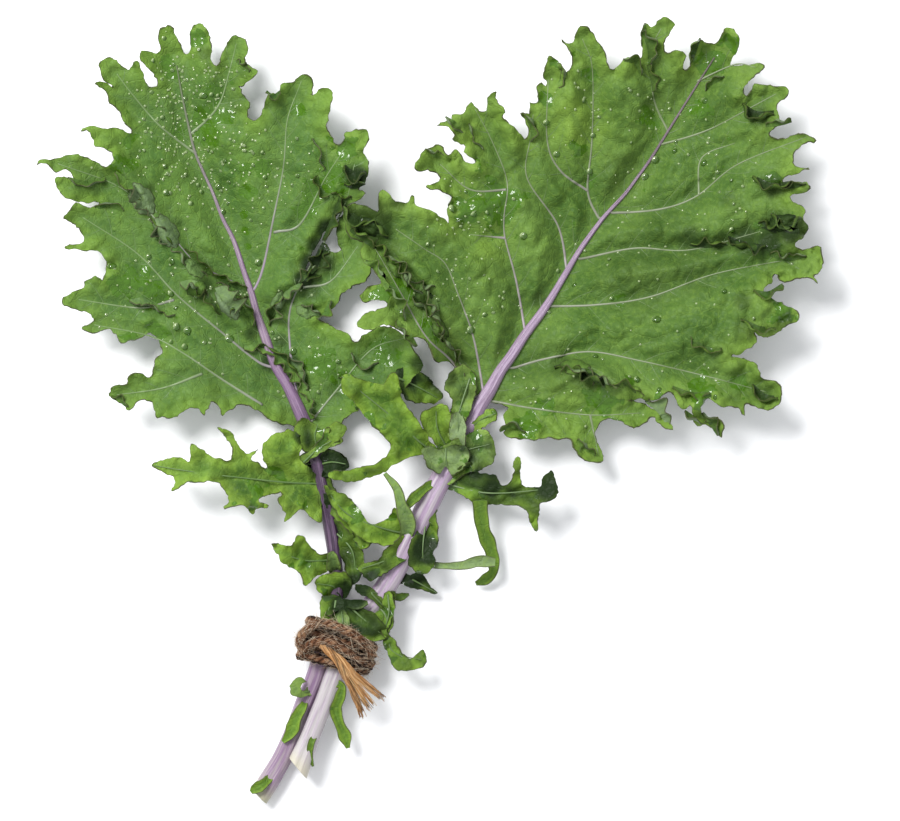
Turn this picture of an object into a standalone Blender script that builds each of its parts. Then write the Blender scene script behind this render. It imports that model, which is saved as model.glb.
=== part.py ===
"""A tied bunch of purple kale, lying flat.

Two large cut leaves lie side by side, cupped upwards, and their petioles cross a twine tie.
Each leaf is one grown thing, kept as two bodies by colour: the green blade, and the purple
petiole and midrib with the green leaflets that grow from it. The twine is the fifth body.

Outlines are read from above in picture columns and rows, and heights are in millimetres.
The bunch rests on the underside of the twine and on the low point of each midrib.
"""
import bpy
import numpy as np
from mathutils.geometry import delaunay_2d_cdt

MM = 0.001

# Driving sizes of the bunch, in metres.
BUNCH_LENGTH = 0.3276          # from the cut stems to the highest leaf tip, in plan
BLADE_THICKNESS = 0.8 * MM
LEAFLET_THICKNESS = 0.9 * MM
FRAY_THICKNESS = 2.0 * MM
CLEARANCE = 0.35 * MM          # between the blade and its own midrib
TWINE_RADIUS = 2.3 * MM
TIE_HALF_WIDTH = 14.2 * MM     # centre of the twine, across the two stems
TIE_LENGTH = 15.6 * MM         # along the stems, between the first and the last turn
TIE_TURNS = 3.2
TIE_CENTRE_HEIGHT = 9.45 * MM   # low enough for the floor to flatten the underside
TIE_HALF_HEIGHT = 7.75 * MM
TIE_ROUNDING = 0.75            # 1 winds in an oval, less winds in a rounder-cornered box
BLADE_GRID = 6.2 * MM          # spacing of the points inside a blade
LEAFLET_GRID = 5.0 * MM
CUP_END = 9 * MM               # a leaflet stops rising this far from its rib
CUP_POWER = 1.35               # a blade rises from its midrib with this power of the distance
RUFFLE_CLEAR = 8 * MM          # the margin's waves fade this near the midrib
RIB_SEAT_REACH = 7 * MM        # the blade comes down to its cup this far from the midrib
PATH_BLUR = 0.5 * MM           # heights are averaged over the stretches of a path this near

# How finely the curves, tubes and sheets are divided.
CURVE_STEPS = 12               # for each point that a curve runs through
STEM_RINGS, STEM_SIDES = 44, 12
CUT_RINGS = 1.5                # the slant of a cut end fades over this many rings
TWINE_RINGS, KNOT_RINGS, TWINE_SIDES = 96, 20, 8
WINDING_POINTS = 240
RIB_POINTS, LEAFLET_RIB_POINTS = 90, 24
STRIP_RINGS = 3                # for each point of a strip's middle line
GRID_ROW = 0.866               # height of a row of the hexagonal grid, as a share of its spacing
EDGE_GAP = 0.55                # the grid stays this far inside an edge, as a share of its spacing

# The picture's frame: rows between the cut stems and the highest tip, and the plan's centre.
ROW_TOP, ROW_BOTTOM = 20, 800
CENTRE_COLUMN, CENTRE_ROW = 430, 412
PIXEL = BUNCH_LENGTH / (ROW_BOTTOM - ROW_TOP)

# Midribs with petioles: column, row, height of the centre in mm, width in columns.
LEFT_STEM = [
    (259, 797, 4.7, 20), (271, 778, 5.0, 20), (283, 757, 5.3, 19), (291, 738, 5.8, 18),
    (299, 718, 6.4, 18), (306, 700, 7.1, 18), (313, 683, 7.9, 18), (318, 668, 8.6, 17.5),
    (323, 648, 9.2, 17), (330, 620, 9.6, 16), (336, 590, 9.6, 15), (335, 560, 9.4, 14),
    (331, 530, 9.0, 14), (325, 500, 8.5, 14), (318, 465, 7.8, 13.5), (309, 435, 7.1, 13),
    (299, 410, 6.4, 13), (287, 385, 5.7, 12), (275, 365, 5.1, 11), (264, 335, 4.3, 10),
    (256, 312, 3.6, 9), (251, 293, 2.9, 8), (243, 270, 1.9, 7), (233, 240, 1.2, 6),
    (222, 218, 1.5, 5), (212, 192, 2.3, 4.6), (203, 172, 3.5, 4.2), (194, 150, 5.2, 4),
    (187, 120, 8.0, 3.6), (182, 95, 10.8, 3.2), (177, 66, 14.0, 2.8),
]
RIGHT_STEM = [
    (298, 768, 11.4, 23), (307, 745, 11.3, 20), (316, 722, 11.2, 19), (325, 700, 11.1, 19),
    (334, 676, 11.0, 19), (345, 648, 10.7, 19), (360, 620, 10.7, 20), (385, 588, 10.8, 21),
    (407, 548, 10.9, 22), (430, 500, 10.7, 22), (450, 462, 10.2, 21), (470, 425, 9.4, 19),
    (480, 405, 8.8, 16), (490, 390, 8.3, 14), (500, 372, 7.7, 13), (512, 355, 7.0, 12),
    (525, 335, 6.3, 11), (540, 315, 5.3, 10), (550, 300, 4.6, 9), (565, 275, 3.2, 8),
    (580, 250, 1.9, 7), (600, 222, 1.2, 6), (612, 208, 1.25, 5.5), (625, 194, 1.7, 5),
    (637, 178, 2.3, 4.6), (650, 160, 3.3, 4.2), (662, 141, 4.6, 4), (680, 112, 7.6, 3.6),
    (700, 80, 11.6, 3.2), (714, 58, 14.4, 2.8),
]
STEM_FLATNESS = 0.94           # height of a petiole over its width
GROOVE_DEPTH = 0.16            # of the groove along the upper side, as a share of the radius
GROOVE_WIDTH = 0.42            # in radians
CUT_SLANT_LEFT = 0.25          # slope of the cut end across the stem
CUT_SLANT_RIGHT = 0.55
LEFT_SLOT = (15, 31)           # the stretch of the stem that runs inside the blade
RIGHT_SLOT = (12, 30)

# The blades' edges, walked from the base up the left side and down the right side.
LEFT_OUTLINE = [
    (284, 424), (268, 419), (258, 411), (247, 406), (240, 404), (233, 408), (227, 414), (222, 416),
    (220, 408), (213, 402), (210, 405), (206, 416), (202, 413), (198, 408), (189, 408), (176, 417),
    (165, 417), (158, 418), (154, 405), (150, 401), (142, 400), (137, 403), (133, 409), (128, 411),
    (126, 405), (115, 400), (110, 396), (113, 388), (120, 385), (127, 385), (130, 377), (141, 373),
    (147, 377), (153, 375), (157, 361), (163, 352), (157, 338), (150, 334), (140, 338), (125, 343),
    (118, 339), (113, 331), (107, 330), (95, 333), (82, 328), (95, 321), (88, 312), (80, 311),
    (64, 304), (70, 294), (84, 289), (87, 282), (93, 278), (99, 277), (104, 282), (108, 265),
    (104, 256), (98, 251), (80, 250), (66, 249), (70, 245), (85, 243), (83, 233), (74, 223),
    (66, 219), (71, 212), (78, 204), (85, 208), (93, 208), (100, 204), (85, 203), (68, 200),
    (62, 193), (57, 184), (59, 179), (72, 179), (76, 180), (71, 173), (66, 171), (58, 173),
    (46, 165), (39, 167), (43, 162), (58, 160), (71, 155), (80, 156), (97, 162), (106, 168),
    (116, 163), (115, 157), (112, 152), (99, 149), (97, 143), (89, 132), (83, 132), (92, 128),
    (109, 130), (121, 130), (131, 135), (132, 130), (126, 125), (121, 113), (115, 108), (111, 103),
    (106, 91), (97, 86), (102, 84), (114, 88), (110, 84), (104, 79), (101, 64), (114, 59),
    (121, 65), (129, 72), (135, 64), (139, 63), (144, 73), (148, 85), (152, 88), (158, 85),
    (155, 75), (149, 69), (141, 58), (147, 51), (156, 55), (161, 49), (160, 33), (165, 28),
    (171, 27), (176, 33), (182, 48), (186, 55), (191, 50), (191, 32), (198, 24), (208, 30),
    (213, 49), (211, 60), (217, 67), (221, 60), (226, 48), (234, 37), (246, 41), (249, 51),
    (245, 60), (248, 66), (258, 73), (253, 80), (243, 86), (239, 87), (246, 97), (250, 104),
    (248, 115), (253, 122), (261, 117), (265, 105), (270, 97), (279, 93), (282, 85), (293, 83),
    (303, 76), (313, 81), (313, 96), (320, 91), (327, 89), (333, 95), (331, 110), (328, 122),
    (330, 136), (338, 144), (345, 140), (346, 133), (357, 131), (367, 132), (368, 145), (363, 153),
    (369, 163), (366, 182), (358, 190), (367, 194), (356, 202), (340, 212), (330, 222), (322, 236),
    (314, 250), (308, 262), (305, 276), (318, 262), (328, 253), (340, 250), (337, 236), (337, 222),
    (345, 214), (355, 220), (365, 232), (372, 250), (372, 270), (365, 283), (352, 286), (342, 295),
    (335, 307), (325, 314), (318, 319), (330, 325), (345, 333), (357, 342), (363, 335), (372, 330),
    (380, 325), (393, 328), (403, 334), (411, 342), (416, 353), (421, 360), (422, 369), (415, 376),
    (408, 385), (400, 393), (385, 400), (370, 403), (357, 411), (345, 419), (338, 429), (326, 432),
]
RIGHT_OUTLINE = [
    (466, 398), (463, 380), (455, 368), (446, 361), (436, 362), (430, 352), (429, 343), (418, 338),
    (404, 334), (394, 328), (384, 325), (374, 330), (360, 328), (358, 321), (366, 314), (382, 310),
    (388, 305), (378, 301), (366, 303), (360, 296), (370, 287), (382, 285), (374, 272), (364, 262),
    (361, 253), (364, 243), (352, 239), (345, 228), (344, 214), (352, 205), (363, 206), (378, 213),
    (380, 196), (384, 192), (396, 202), (408, 204), (413, 197), (416, 206), (427, 212), (435, 214),
    (443, 219), (449, 225), (447, 209), (451, 198), (441, 193), (426, 188), (440, 183), (438, 175),
    (430, 172), (416, 172), (419, 159), (428, 149), (439, 147), (448, 157), (452, 151), (458, 151),
    (463, 160), (470, 164), (475, 163), (465, 154), (464, 147), (453, 143), (455, 136), (446, 129),
    (437, 128), (441, 123), (449, 122), (455, 131), (460, 131), (452, 118), (461, 115), (471, 103),
    (479, 112), (487, 111), (488, 99), (495, 94), (496, 101), (504, 113), (502, 118), (509, 125),
    (523, 138), (528, 133), (524, 119), (519, 114), (530, 115), (529, 103), (538, 103), (536, 89),
    (541, 83), (546, 86), (544, 74), (548, 58), (557, 63), (563, 75), (570, 69), (569, 52),
    (561, 42), (572, 45), (579, 28), (588, 32), (603, 52), (608, 69), (617, 68), (626, 59),
    (640, 59), (640, 38), (644, 26), (651, 29), (659, 21), (667, 20), (674, 27), (664, 41),
    (663, 50), (668, 54), (680, 53), (684, 60), (682, 70), (690, 68), (692, 52), (699, 42),
    (710, 44), (717, 43), (722, 32), (729, 29), (738, 37), (738, 49), (729, 64), (740, 67),
    (760, 64), (763, 69), (751, 80), (742, 91), (746, 98), (755, 86), (772, 87), (784, 89),
    (786, 97), (776, 107), (777, 124), (767, 135), (780, 140), (797, 135), (808, 136), (813, 143),
    (801, 145), (793, 156), (793, 168), (807, 170), (795, 174), (782, 181), (789, 187), (804, 184),
    (808, 191), (794, 195), (789, 200), (803, 210), (801, 219), (805, 229), (800, 238), (791, 246),
    (799, 250), (812, 248), (819, 252), (819, 269), (812, 278), (815, 285), (805, 278), (782, 282),
    (774, 275), (768, 285), (762, 294), (781, 305), (796, 312), (794, 322), (784, 326), (774, 335),
    (762, 338), (752, 332), (755, 343), (740, 353), (730, 356), (751, 362), (757, 372), (763, 380),
    (775, 382), (779, 389), (778, 402), (768, 410), (751, 406), (743, 404), (742, 415), (736, 407),
    (720, 406), (706, 398), (700, 405), (703, 418), (714, 417), (722, 426), (720, 438), (712, 429),
    (704, 424), (694, 424), (689, 406), (681, 408), (668, 392), (658, 398), (647, 401), (637, 399),
    (628, 401), (641, 402), (650, 408), (660, 413), (671, 427), (665, 430), (651, 417), (646, 422),
    (634, 428), (618, 421), (602, 420), (595, 435), (600, 448), (603, 459), (598, 463), (580, 458),
    (573, 447), (569, 439), (552, 438), (534, 440), (515, 438), (504, 434), (506, 427), (503, 416),
    (509, 408), (500, 404),
]

# The main side veins, each from the midrib outwards. The blade dips along them.
LEFT_VEINS = [
    [(252, 292), (262, 270), (274, 215), (284, 165), (288, 120), (302, 82)],
    [(274, 232), (300, 224), (325, 180), (345, 150)],
    [(194, 152), (160, 126), (133, 95), (118, 75)],
    [(192, 132), (218, 107), (231, 68), (237, 45)],
    [(247, 288), (200, 266), (170, 235), (125, 190), (60, 165)],
    [(258, 362), (221, 332), (177, 295), (138, 254), (84, 218)],
    [(174, 300), (140, 308), (80, 300)],
    [(262, 405), (220, 378), (183, 353), (150, 336), (95, 325)],
    [(202, 374), (164, 388), (118, 395)],
    [(297, 398), (290, 350), (291, 305), (315, 258), (345, 205), (355, 165)],
    [(303, 287), (331, 281), (358, 246)],
    [(308, 425), (335, 392), (371, 350), (405, 338)],
]
RIGHT_VEINS = [
    [(480, 404), (452, 362), (426, 337), (400, 292), (373, 246), (352, 222)],
    [(484, 398), (474, 340), (458, 295), (445, 264), (425, 250), (396, 230)],
    [(525, 330), (516, 280), (505, 238), (504, 215), (507, 182), (492, 142), (475, 110)],
    [(505, 238), (470, 235)],
    [(506, 190), (470, 190), (440, 165)],
    [(567, 268), (558, 225), (527, 178), (530, 140), (533, 115)],
    [(600, 218), (588, 190), (592, 140), (592, 70), (582, 40)],
    [(588, 190), (560, 170), (547, 140), (548, 80)],
    [(668, 130), (653, 95), (652, 50), (660, 30)],
    [(512, 368), (545, 359), (590, 352), (640, 361), (700, 375), (765, 392)],
    [(545, 306), (595, 305), (650, 297), (715, 274), (800, 258)],
    [(582, 258), (636, 248), (690, 250), (760, 232)],
    [(612, 212), (660, 209), (697, 196), (737, 165), (805, 138)],
    [(699, 195), (702, 158), (735, 143)],
    [(664, 143), (710, 129), (775, 95)],
    [(700, 80), (735, 65), (755, 68)],
    [(497, 402), (530, 408), (590, 415), (640, 413)],
    [(590, 415), (598, 455)],
]

# How each blade stands: millimetres of rise far from the midrib, and the distance it takes.
LEFT_CUP = (17.0, 34.0)
RIGHT_CUP = (19.0, 44.0)
RIB_SEAT = 0.30                # the blade meets the midrib above its centre, share of the width
QUILT = (1.5, 6.5)             # mm that the blade puffs up between veins, and the groove's width
RUFFLE = (2.6, 11.0)           # mm of wave at the margin, and how far in it fades
RUFFLE_WAVES = [(23.0, 20.0, 0.4), (31.0, 95.0, 1.9), (27.0, 150.0, 4.1)]  # mm, degrees, phase

# Places where a lobe lies higher or lower: column, row, reach in columns, mm.
LEFT_LIFTS = [
    (345, 245, 40, -7.0), (375, 360, 60, -8.0), (325, 330, 30, -3.0), (60, 165, 40, 3.0),
    (350, 165, 30, 5.0), (175, 40, 40, -3.0), (330, 420, 20, -2.0),
]
RIGHT_LIFTS = [
    (385, 265, 60, 6.0), (430, 325, 40, 5.0), (365, 320, 30, 3.0), (660, 35, 40, 4.0),
    (800, 260, 50, 5.0), (780, 100, 50, 3.0), (590, 450, 40, -3.0), (712, 430, 20, -4.0),
    (505, 425, 18, 1.5),
]
# Folds that stand up from a blade or sink into it: path, height in mm, half width in mm.
LEFT_FOLDS = [
    ([(118, 165), (140, 190), (160, 225), (180, 255), (205, 290), (248, 325)], 6.5, 4.0),
    ([(262, 296), (282, 284), (302, 280)], 4.0, 3.5),
]
RIGHT_FOLDS = [
    ([(386, 246), (412, 280), (440, 320), (468, 366)], -5.0, 4.5),
    ([(560, 378), (590, 366), (618, 384)], 4.5, 4.0),
    ([(600, 236), (650, 232), (700, 236)], 2.0, 4.5),
    ([(620, 272), (680, 268), (740, 254)], 2.0, 4.5),
]

# Leaflets with cut edges: outline, rib (column, row, mm), rise towards the edges, side slope.
LEFT_LEAFLETS = {
    "big_left": (
        [(312, 470), (300, 458), (303, 440), (290, 430), (270, 438), (262, 450), (267, 468),
         (259, 462), (252, 458), (259, 449), (246, 455), (236, 438), (230, 431), (218, 427),
         (230, 441), (233, 456), (228, 461), (213, 456), (193, 444), (193, 456), (190, 461),
         (180, 457), (165, 460), (153, 465), (165, 472), (177, 480), (173, 491), (188, 483),
         (206, 481), (221, 484), (230, 499), (226, 508), (244, 504), (253, 514), (258, 508),
         (268, 506), (260, 498), (281, 493), (278, 500), (285, 511), (284, 522), (293, 516),
         (302, 509), (313, 519), (321, 522), (322, 505), (322, 490)],
        [(322, 484, 8.5), (284, 482, 15), (239, 477, 21), (198, 472, 23), (153, 465, 21)], 0.02, 0.05),
    "left_middle": (
        [(334, 552), (318, 553), (300, 534), (292, 545), (273, 543), (280, 557), (288, 566),
         (300, 573), (306, 585), (318, 575), (332, 568)],
        [(335, 560, 9.4), (305, 560, 15), (275, 550, 19)], 0.04, -0.1),
    "left_low": (
        [(340, 572), (326, 574), (316, 582), (326, 597), (344, 597), (352, 586), (348, 573)],
        [(337, 596, 8.5), (336, 591, 10), (333, 586, 14), (318, 583, 18)], 0.03, 0.0),
    "left_drape": (
        [(338, 592), (325, 594), (321, 604), (324, 613), (334, 614), (341, 603)],
        [(334, 598, 10.0), (330, 606, 15.5), (328, 613, 18.5)], 0.03, 0.1),
    "right_upper": (
        [(322, 470), (335, 488), (352, 512), (366, 528), (372, 542), (360, 548), (350, 532),
         (338, 520), (326, 508)],
        [(323, 486, 8.8), (342, 514, 14.5), (364, 540, 17)], 0.03, 0.1),
    "right_side": (
        [(333, 520), (346, 524), (358, 540), (364, 560), (360, 580), (350, 583), (343, 560),
         (337, 540)],
        [(333, 530, 9.5), (352, 550, 13.5), (356, 578, 13)], 0.03, 0.2),
    "below_tie_round": (
        [(318, 684), (309, 686), (303, 690), (302, 684), (308, 682), (302, 678), (294, 679),
         (290, 685), (291, 692), (298, 697), (307, 696), (316, 694)],
        [(313, 689, 7.8), (305, 692, 12.5), (292, 687, 14)], 0.03, 0.0),
    "dark_round": (
        [(322, 452), (336, 450), (346, 462), (348, 470), (334, 474), (322, 476)],
        [(318, 465, 8.0), (332, 462, 12), (346, 464, 14)], 0.03, 0.0),
}
RIGHT_LEAFLETS = {
    "up_left": (
        [(452, 452), (436, 446), (416, 418), (404, 402), (400, 390), (397, 373), (390, 374),
         (386, 382), (381, 385), (364, 381), (350, 374), (342, 378), (345, 393), (356, 404),
         (368, 420), (382, 434), (390, 444), (386, 457), (372, 464), (352, 469), (333, 470),
         (331, 477), (350, 481), (372, 476), (392, 467), (412, 456), (436, 456)],
        [(450, 460, 10.5), (425, 446, 17), (390, 415, 23), (342, 376, 24)], 0.015, 0.05),
    "low_left": (
        [(412, 524), (396, 508), (391, 515), (372, 524), (358, 506), (345, 495), (325, 486),
         (335, 510), (345, 520), (358, 536), (384, 545), (400, 540)],
        [(414, 532, 10.9), (394, 531, 15), (350, 515, 20), (325, 487, 21)], 0.03, 0.1),
    "right_fan": (
        [(446, 478), (456, 470), (470, 462), (478, 472), (495, 475), (500, 484), (511, 480),
         (515, 458), (521, 460), (521, 482), (538, 487), (543, 478), (551, 470), (556, 478),
         (556, 496), (541, 504), (538, 518), (536, 530), (530, 522), (526, 509), (505, 505),
         (490, 504), (478, 504), (462, 495), (450, 490)],
        [(446, 484, 10.2), (491, 493, 16), (556, 488, 19)], 0.02, 0.05),
    "right_side": (
        [(434, 500), (420, 525), (409, 548), (412, 568), (425, 574), (434, 566), (434, 550),
         (438, 540), (437, 518)],
        [(428, 508, 11), (423, 545, 16), (424, 570, 16)], 0.03, 0.1),
    "lower_left": (
        [(404, 535), (392, 544), (376, 560), (359, 565), (363, 575), (372, 580), (386, 572),
         (398, 564), (408, 556)],
        [(405, 550, 10.9), (386, 560, 17), (362, 568, 19)], 0.03, 0.0),
    "dark_under": (
        [(400, 562), (406, 572), (424, 575), (430, 586), (438, 594), (420, 590), (402, 584),
         (392, 578)],
        [(396, 570, 10), (415, 581, 9), (437, 593, 8)], 0.03, 0.0),
    "fold_over": (
        [(356, 583), (372, 588), (388, 604), (394, 616), (386, 613), (372, 600), (358, 592)],
        [(380, 594, 13), (372, 593, 17), (390, 612, 14)], 0.02, 0.0),
    "above_tie": (
        [(374, 598), (394, 592), (394, 612), (388, 628), (398, 646), (410, 658), (422, 649),
         (427, 658), (422, 667), (398, 669), (390, 660), (384, 644), (380, 628), (370, 612)],
        [(372, 602, 11), (386, 616, 15), (392, 650, 15.5), (424, 660, 16)], 0.02, 0.0),
    "oval": (
        [(454, 450), (449, 432), (450, 418), (457, 412), (465, 422), (466, 436), (462, 450)],
        [(455, 455, 12), (458, 434, 19), (458, 414, 21)], 0.04, 0.0),
    "dark_heart": (
        [(450, 462), (436, 446), (424, 430), (421, 414), (431, 408), (444, 404), (452, 416),
         (450, 430), (456, 450)],
        [(453, 458, 11), (438, 430, 16.5), (436, 406, 19)], 0.03, 0.0),
    "pointed": (
        [(470, 432), (473, 422), (486, 411), (496, 410), (497, 419), (487, 425), (478, 430)],
        [(468, 430, 10.5), (482, 419, 14.5), (496, 413, 16)], 0.04, 0.0),
    "saddle": (
        [(438, 452), (452, 440), (472, 432), (487, 430), (495, 446), (492, 462), (478, 470),
         (462, 476), (448, 484), (440, 470)],
        [(446, 470, 11), (463, 452, 15.5), (490, 444, 17)], 0.012, 0.0),
}
# Narrow leaflets: column, row, height in mm and half width in columns along the middle.
LEFT_STRIPS = {
    "below_tie_long": [(305, 702, 8, 3), (303, 706, 12, 4), (296, 718, 12, 6), (291, 732, 11, 6),
                       (283, 742, 10, 2)],
    "at_the_cut": [(272, 776, 7, 3), (263, 784, 10, 5), (255, 789, 10.5, 5), (251, 792, 10, 2)],
    "short_tongue": [(336, 572, 9.5, 5), (334, 566, 14, 7), (333, 558, 16.5, 6), (331, 552, 17, 3)],
    "pale_curl": [(333, 601, 9.6, 3), (346, 603, 15, 4), (357, 604, 17.5, 5), (368, 602, 18, 2)],
}
RIGHT_STRIPS = {
    "below_tie_right": [(334, 682, 11.5, 4), (342, 686, 15, 4), (340, 697, 15, 5),
                        (336, 709, 13, 6), (339, 722, 12, 5), (345, 736, 11, 6), (348, 748, 10, 2)],
    "below_tie_small": [(316, 735, 12, 3), (312, 741, 15, 3), (310, 754, 14, 3), (313, 766, 12, 1)],
    "wing": [(436, 482, 12, 3), (428, 486, 14.5, 4), (414, 498, 17, 5), (406, 508, 18, 3)],
    "light_strip": [(405, 540, 11.5, 5), (408, 524, 17, 8), (402, 506, 21, 6), (397, 488, 22, 4),
                    (385, 473, 22, 2)],
    "droop": [(480, 500, 15, 8), (481, 516, 13, 7), (484, 532, 11, 7), (490, 547, 9, 7),
              (493, 560, 7.5, 6), (493, 572, 6, 5), (485, 580, 5, 5), (476, 584, 4, 2)],
    "thin_arm": [(420, 560, 16, 4), (436, 565, 16, 3), (462, 565, 16, 4), (478, 561, 16, 6),
                 (495, 562, 15, 4)],
    "thorn": [(392, 596, 11, 2), (400, 597, 11, 4), (409, 594, 11, 1)],
}

# The strand over the knot, and the frayed end: column, row, height in mm.
KNOT = [(301, 657, 9), (304, 650, 15), (313, 643, 20), (328, 640, 21.8), (346, 649, 22.2),
        (362, 661, 20.2), (372, 664, 15)]
TIE_CENTRE = (337.5, 646.5)
TIE_AXIS = (-20, 60)           # down along the stems, in columns and rows
FRAY_OUTLINE = [
    (316, 638), (330, 642), (347, 655), (364, 676), (385, 691), (383, 706), (377, 699), (380, 710),
    (371, 705), (366, 700), (369, 721), (360, 708), (354, 694), (345, 679), (332, 662), (321, 652),
]
FRAY_RIB = [(318, 644, 21.0), (340, 660, 22.5), (354, 676, 20.5), (372, 704, 15.5)]


def plan(points):
    """Columns and rows as metres seen from above, with +Y up the picture."""
    points = np.asarray(points, float)
    return np.column_stack(((points[:, 0] - CENTRE_COLUMN) * PIXEL, (CENTRE_ROW - points[:, 1]) * PIXEL))


def smooth(points, count):
    """A Catmull-Rom curve through rows of numbers, read at evenly spread stations."""
    points = np.asarray(points, float)
    ends = np.vstack((2 * points[0] - points[1], points, 2 * points[-1] - points[-2]))
    station = np.linspace(0, len(points) - 1, CURVE_STEPS * len(points))
    at = np.minimum(station.astype(int), len(points) - 2)
    t = (station - at)[:, None]
    a, b, c, d = (ends[at + k] for k in range(4))
    curve = 0.5 * (2 * b + (c - a) * t + (2 * a - 5 * b + 4 * c - d) * t ** 2
                   + (3 * b - a - 3 * c + d) * t ** 3)
    along = np.concatenate(([0], np.cumsum(np.linalg.norm(np.diff(curve[:, :3], axis=0), axis=1))))
    wanted = np.linspace(0, along[-1], count)
    return np.column_stack([np.interp(wanted, along, column) for column in curve.T])


def in_space(points, count):
    """A smooth run through columns, rows and mm as metres, with further numbers kept."""
    points = np.asarray(points, float)
    metres = np.column_stack((plan(points[:, :2]), points[:, 2] * MM, points[:, 3:]))
    return smooth(metres, count)


def to_path(points, path):
    """For each plan point: distance to a path, which side it is on, and the path's height nearby."""
    a, b = path[:-1, :2], path[1:, :2]
    along = b - a
    reach = points[:, None] - a[None]
    share = np.clip((reach * along).sum(2) / (along ** 2).sum(1), 0, 1)
    gap = reach - share[..., None] * along
    far = np.linalg.norm(gap, axis=2)
    near = far.argmin(1)
    rows = np.arange(len(points))
    side = np.sign(along[near, 0] * reach[rows, near, 1] - along[near, 1] * reach[rows, near, 0])
    if path.shape[1] < 3:
        return far.min(1), side, None
    heights = path[:-1, 2] + share * (path[1:, 2] - path[:-1, 2])
    weight = 1 / (far ** 2 + PATH_BLUR ** 2) ** 2
    return far.min(1), side, (weight * heights).sum(1) / weight.sum(1)


def ruffle(points):
    """A slow wave over the plan: three crossed sines."""
    total = np.zeros(len(points))
    for length, turn, phase in RUFFLE_WAVES:
        way = np.array((np.cos(np.radians(turn)), np.sin(np.radians(turn))))
        total += np.sin(2 * np.pi * (points @ way) / (length * MM) + phase)
    return total / len(RUFFLE_WAVES)


def blade_height(points, outline, stem, veins, cup, lifts, folds):
    """Height over the plan: seat on the midrib, cup, quilting, lifts, folds and margin waves."""
    rib = in_space([row[:3] for row in stem], RIB_POINTS)
    rise, reach = cup
    away, _, seat = to_path(points, rib)
    height = seat + rise * MM * (1 - np.exp(-(away / (reach * MM)) ** CUP_POWER))
    vein = away.copy()
    for line in veins:
        vein = np.minimum(vein, to_path(points, plan(line))[0])
    height += QUILT[0] * MM * (1 - np.exp(-(vein / (QUILT[1] * MM)) ** 2))
    for column, row, wide, lift in lifts:
        off = np.linalg.norm(points - plan([(column, row)])[0], axis=1) / (wide * PIXEL)
        height += lift * MM * np.exp(-off ** 2)
    for line, lift, half in folds:
        height += lift * MM * np.exp(-(to_path(points, plan(line))[0] / (half * MM)) ** 2)
    edge = to_path(points, np.vstack((plan(outline), plan(outline[:1]))))[0]
    fade = np.exp(-edge / (RUFFLE[1] * MM)) * (1 - np.exp(-(away / RUFFLE_CLEAR) ** 2))
    return height + RUFFLE[0] * MM * fade * ruffle(points)


def seat_line(stem, stretch):
    """The two edges of the slot that a blade leaves for its midrib, base to tip."""
    part = np.array(stem[stretch[0]:stretch[1]], float)
    line = smooth(np.column_stack((plan(part[:, :2]), part[:, 3] * PIXEL / 2)), 2 * len(part))
    ahead = np.gradient(line[:, :2], axis=0)
    ahead /= np.linalg.norm(ahead, axis=1)[:, None]
    across = np.column_stack((-ahead[:, 1], ahead[:, 0]))
    half = (line[:, 2] + CLEARANCE)[:, None]
    end = line[-1:, :2] + ahead[-1:] * half[-1]
    return line[:, :2] + across * half, line[:, :2] - across * half, end


def inside(points, ring):
    """Which plan points lie inside a ring, by crossings of a level ray."""
    x, y = points[:, 0, None], points[:, 1, None]
    ax, ay = ring[:, 0], ring[:, 1]
    bx, by = np.roll(ax, -1), np.roll(ay, -1)
    rise = np.where(by == ay, 1e-12, by - ay)
    crosses = ((ay > y) != (by > y)) & (x < (bx - ax) * (y - ay) / rise + ax)
    return crosses.sum(1) % 2 == 1


def triangles(ring, grid):
    """Plan points and triangles of a ring filled with a hexagonal grid of points."""
    low, high = ring.min(0), ring.max(0)
    rows = []
    for k, y in enumerate(np.arange(low[1], high[1], grid * GRID_ROW)):
        along = np.arange(low[0] + (grid / 2) * (k % 2), high[0], grid)
        rows.append(np.column_stack((along, np.full(len(along), y))))
    grid_points = np.vstack(rows)
    closed = np.vstack((ring, ring[:1]))
    keep = inside(grid_points, ring) & (to_path(grid_points, closed)[0] > EDGE_GAP * grid)
    points = np.vstack((ring, grid_points[keep]))
    edges = [(k, (k + 1) % len(ring)) for k in range(len(ring))]
    made = delaunay_2d_cdt([tuple(p) for p in points], edges, [tuple(range(len(ring)))], 1, 1e-9)
    flat = np.array([tuple(p) for p in made[0]])
    faces = np.array([f for f in made[2]])
    a, b, c = (flat[faces[:, k]] for k in range(3))
    turned = (b[:, 0] - a[:, 0]) * (c[:, 1] - a[:, 1]) < (b[:, 1] - a[:, 1]) * (c[:, 0] - a[:, 0])
    faces[turned] = faces[turned][:, ::-1]
    return flat, faces


def thicken(points, faces, thickness):
    """Two copies of a sheet either side of it, joined round its border by a wall."""
    a, b, c = (points[faces[:, k]] for k in range(3))
    normal = np.cross(b - a, c - a)
    smooth_normal = np.zeros_like(points)
    for k in range(3):
        np.add.at(smooth_normal, faces[:, k], normal)
    smooth_normal /= np.linalg.norm(smooth_normal, axis=1)[:, None]
    count = len(points)
    verts = np.vstack((points + smooth_normal * thickness / 2, points - smooth_normal * thickness / 2))
    edges = np.vstack((faces[:, [0, 1]], faces[:, [1, 2]], faces[:, [2, 0]]))
    there = set(map(tuple, edges.tolist()))
    border = [(i, j) for i, j in there if (j, i) not in there]
    border.sort()
    walls = [t for i, j in border for t in ((i, i + count, j + count), (i, j + count, j))]
    return verts, faces.tolist() + (faces[:, ::-1] + count).tolist() + walls


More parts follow.
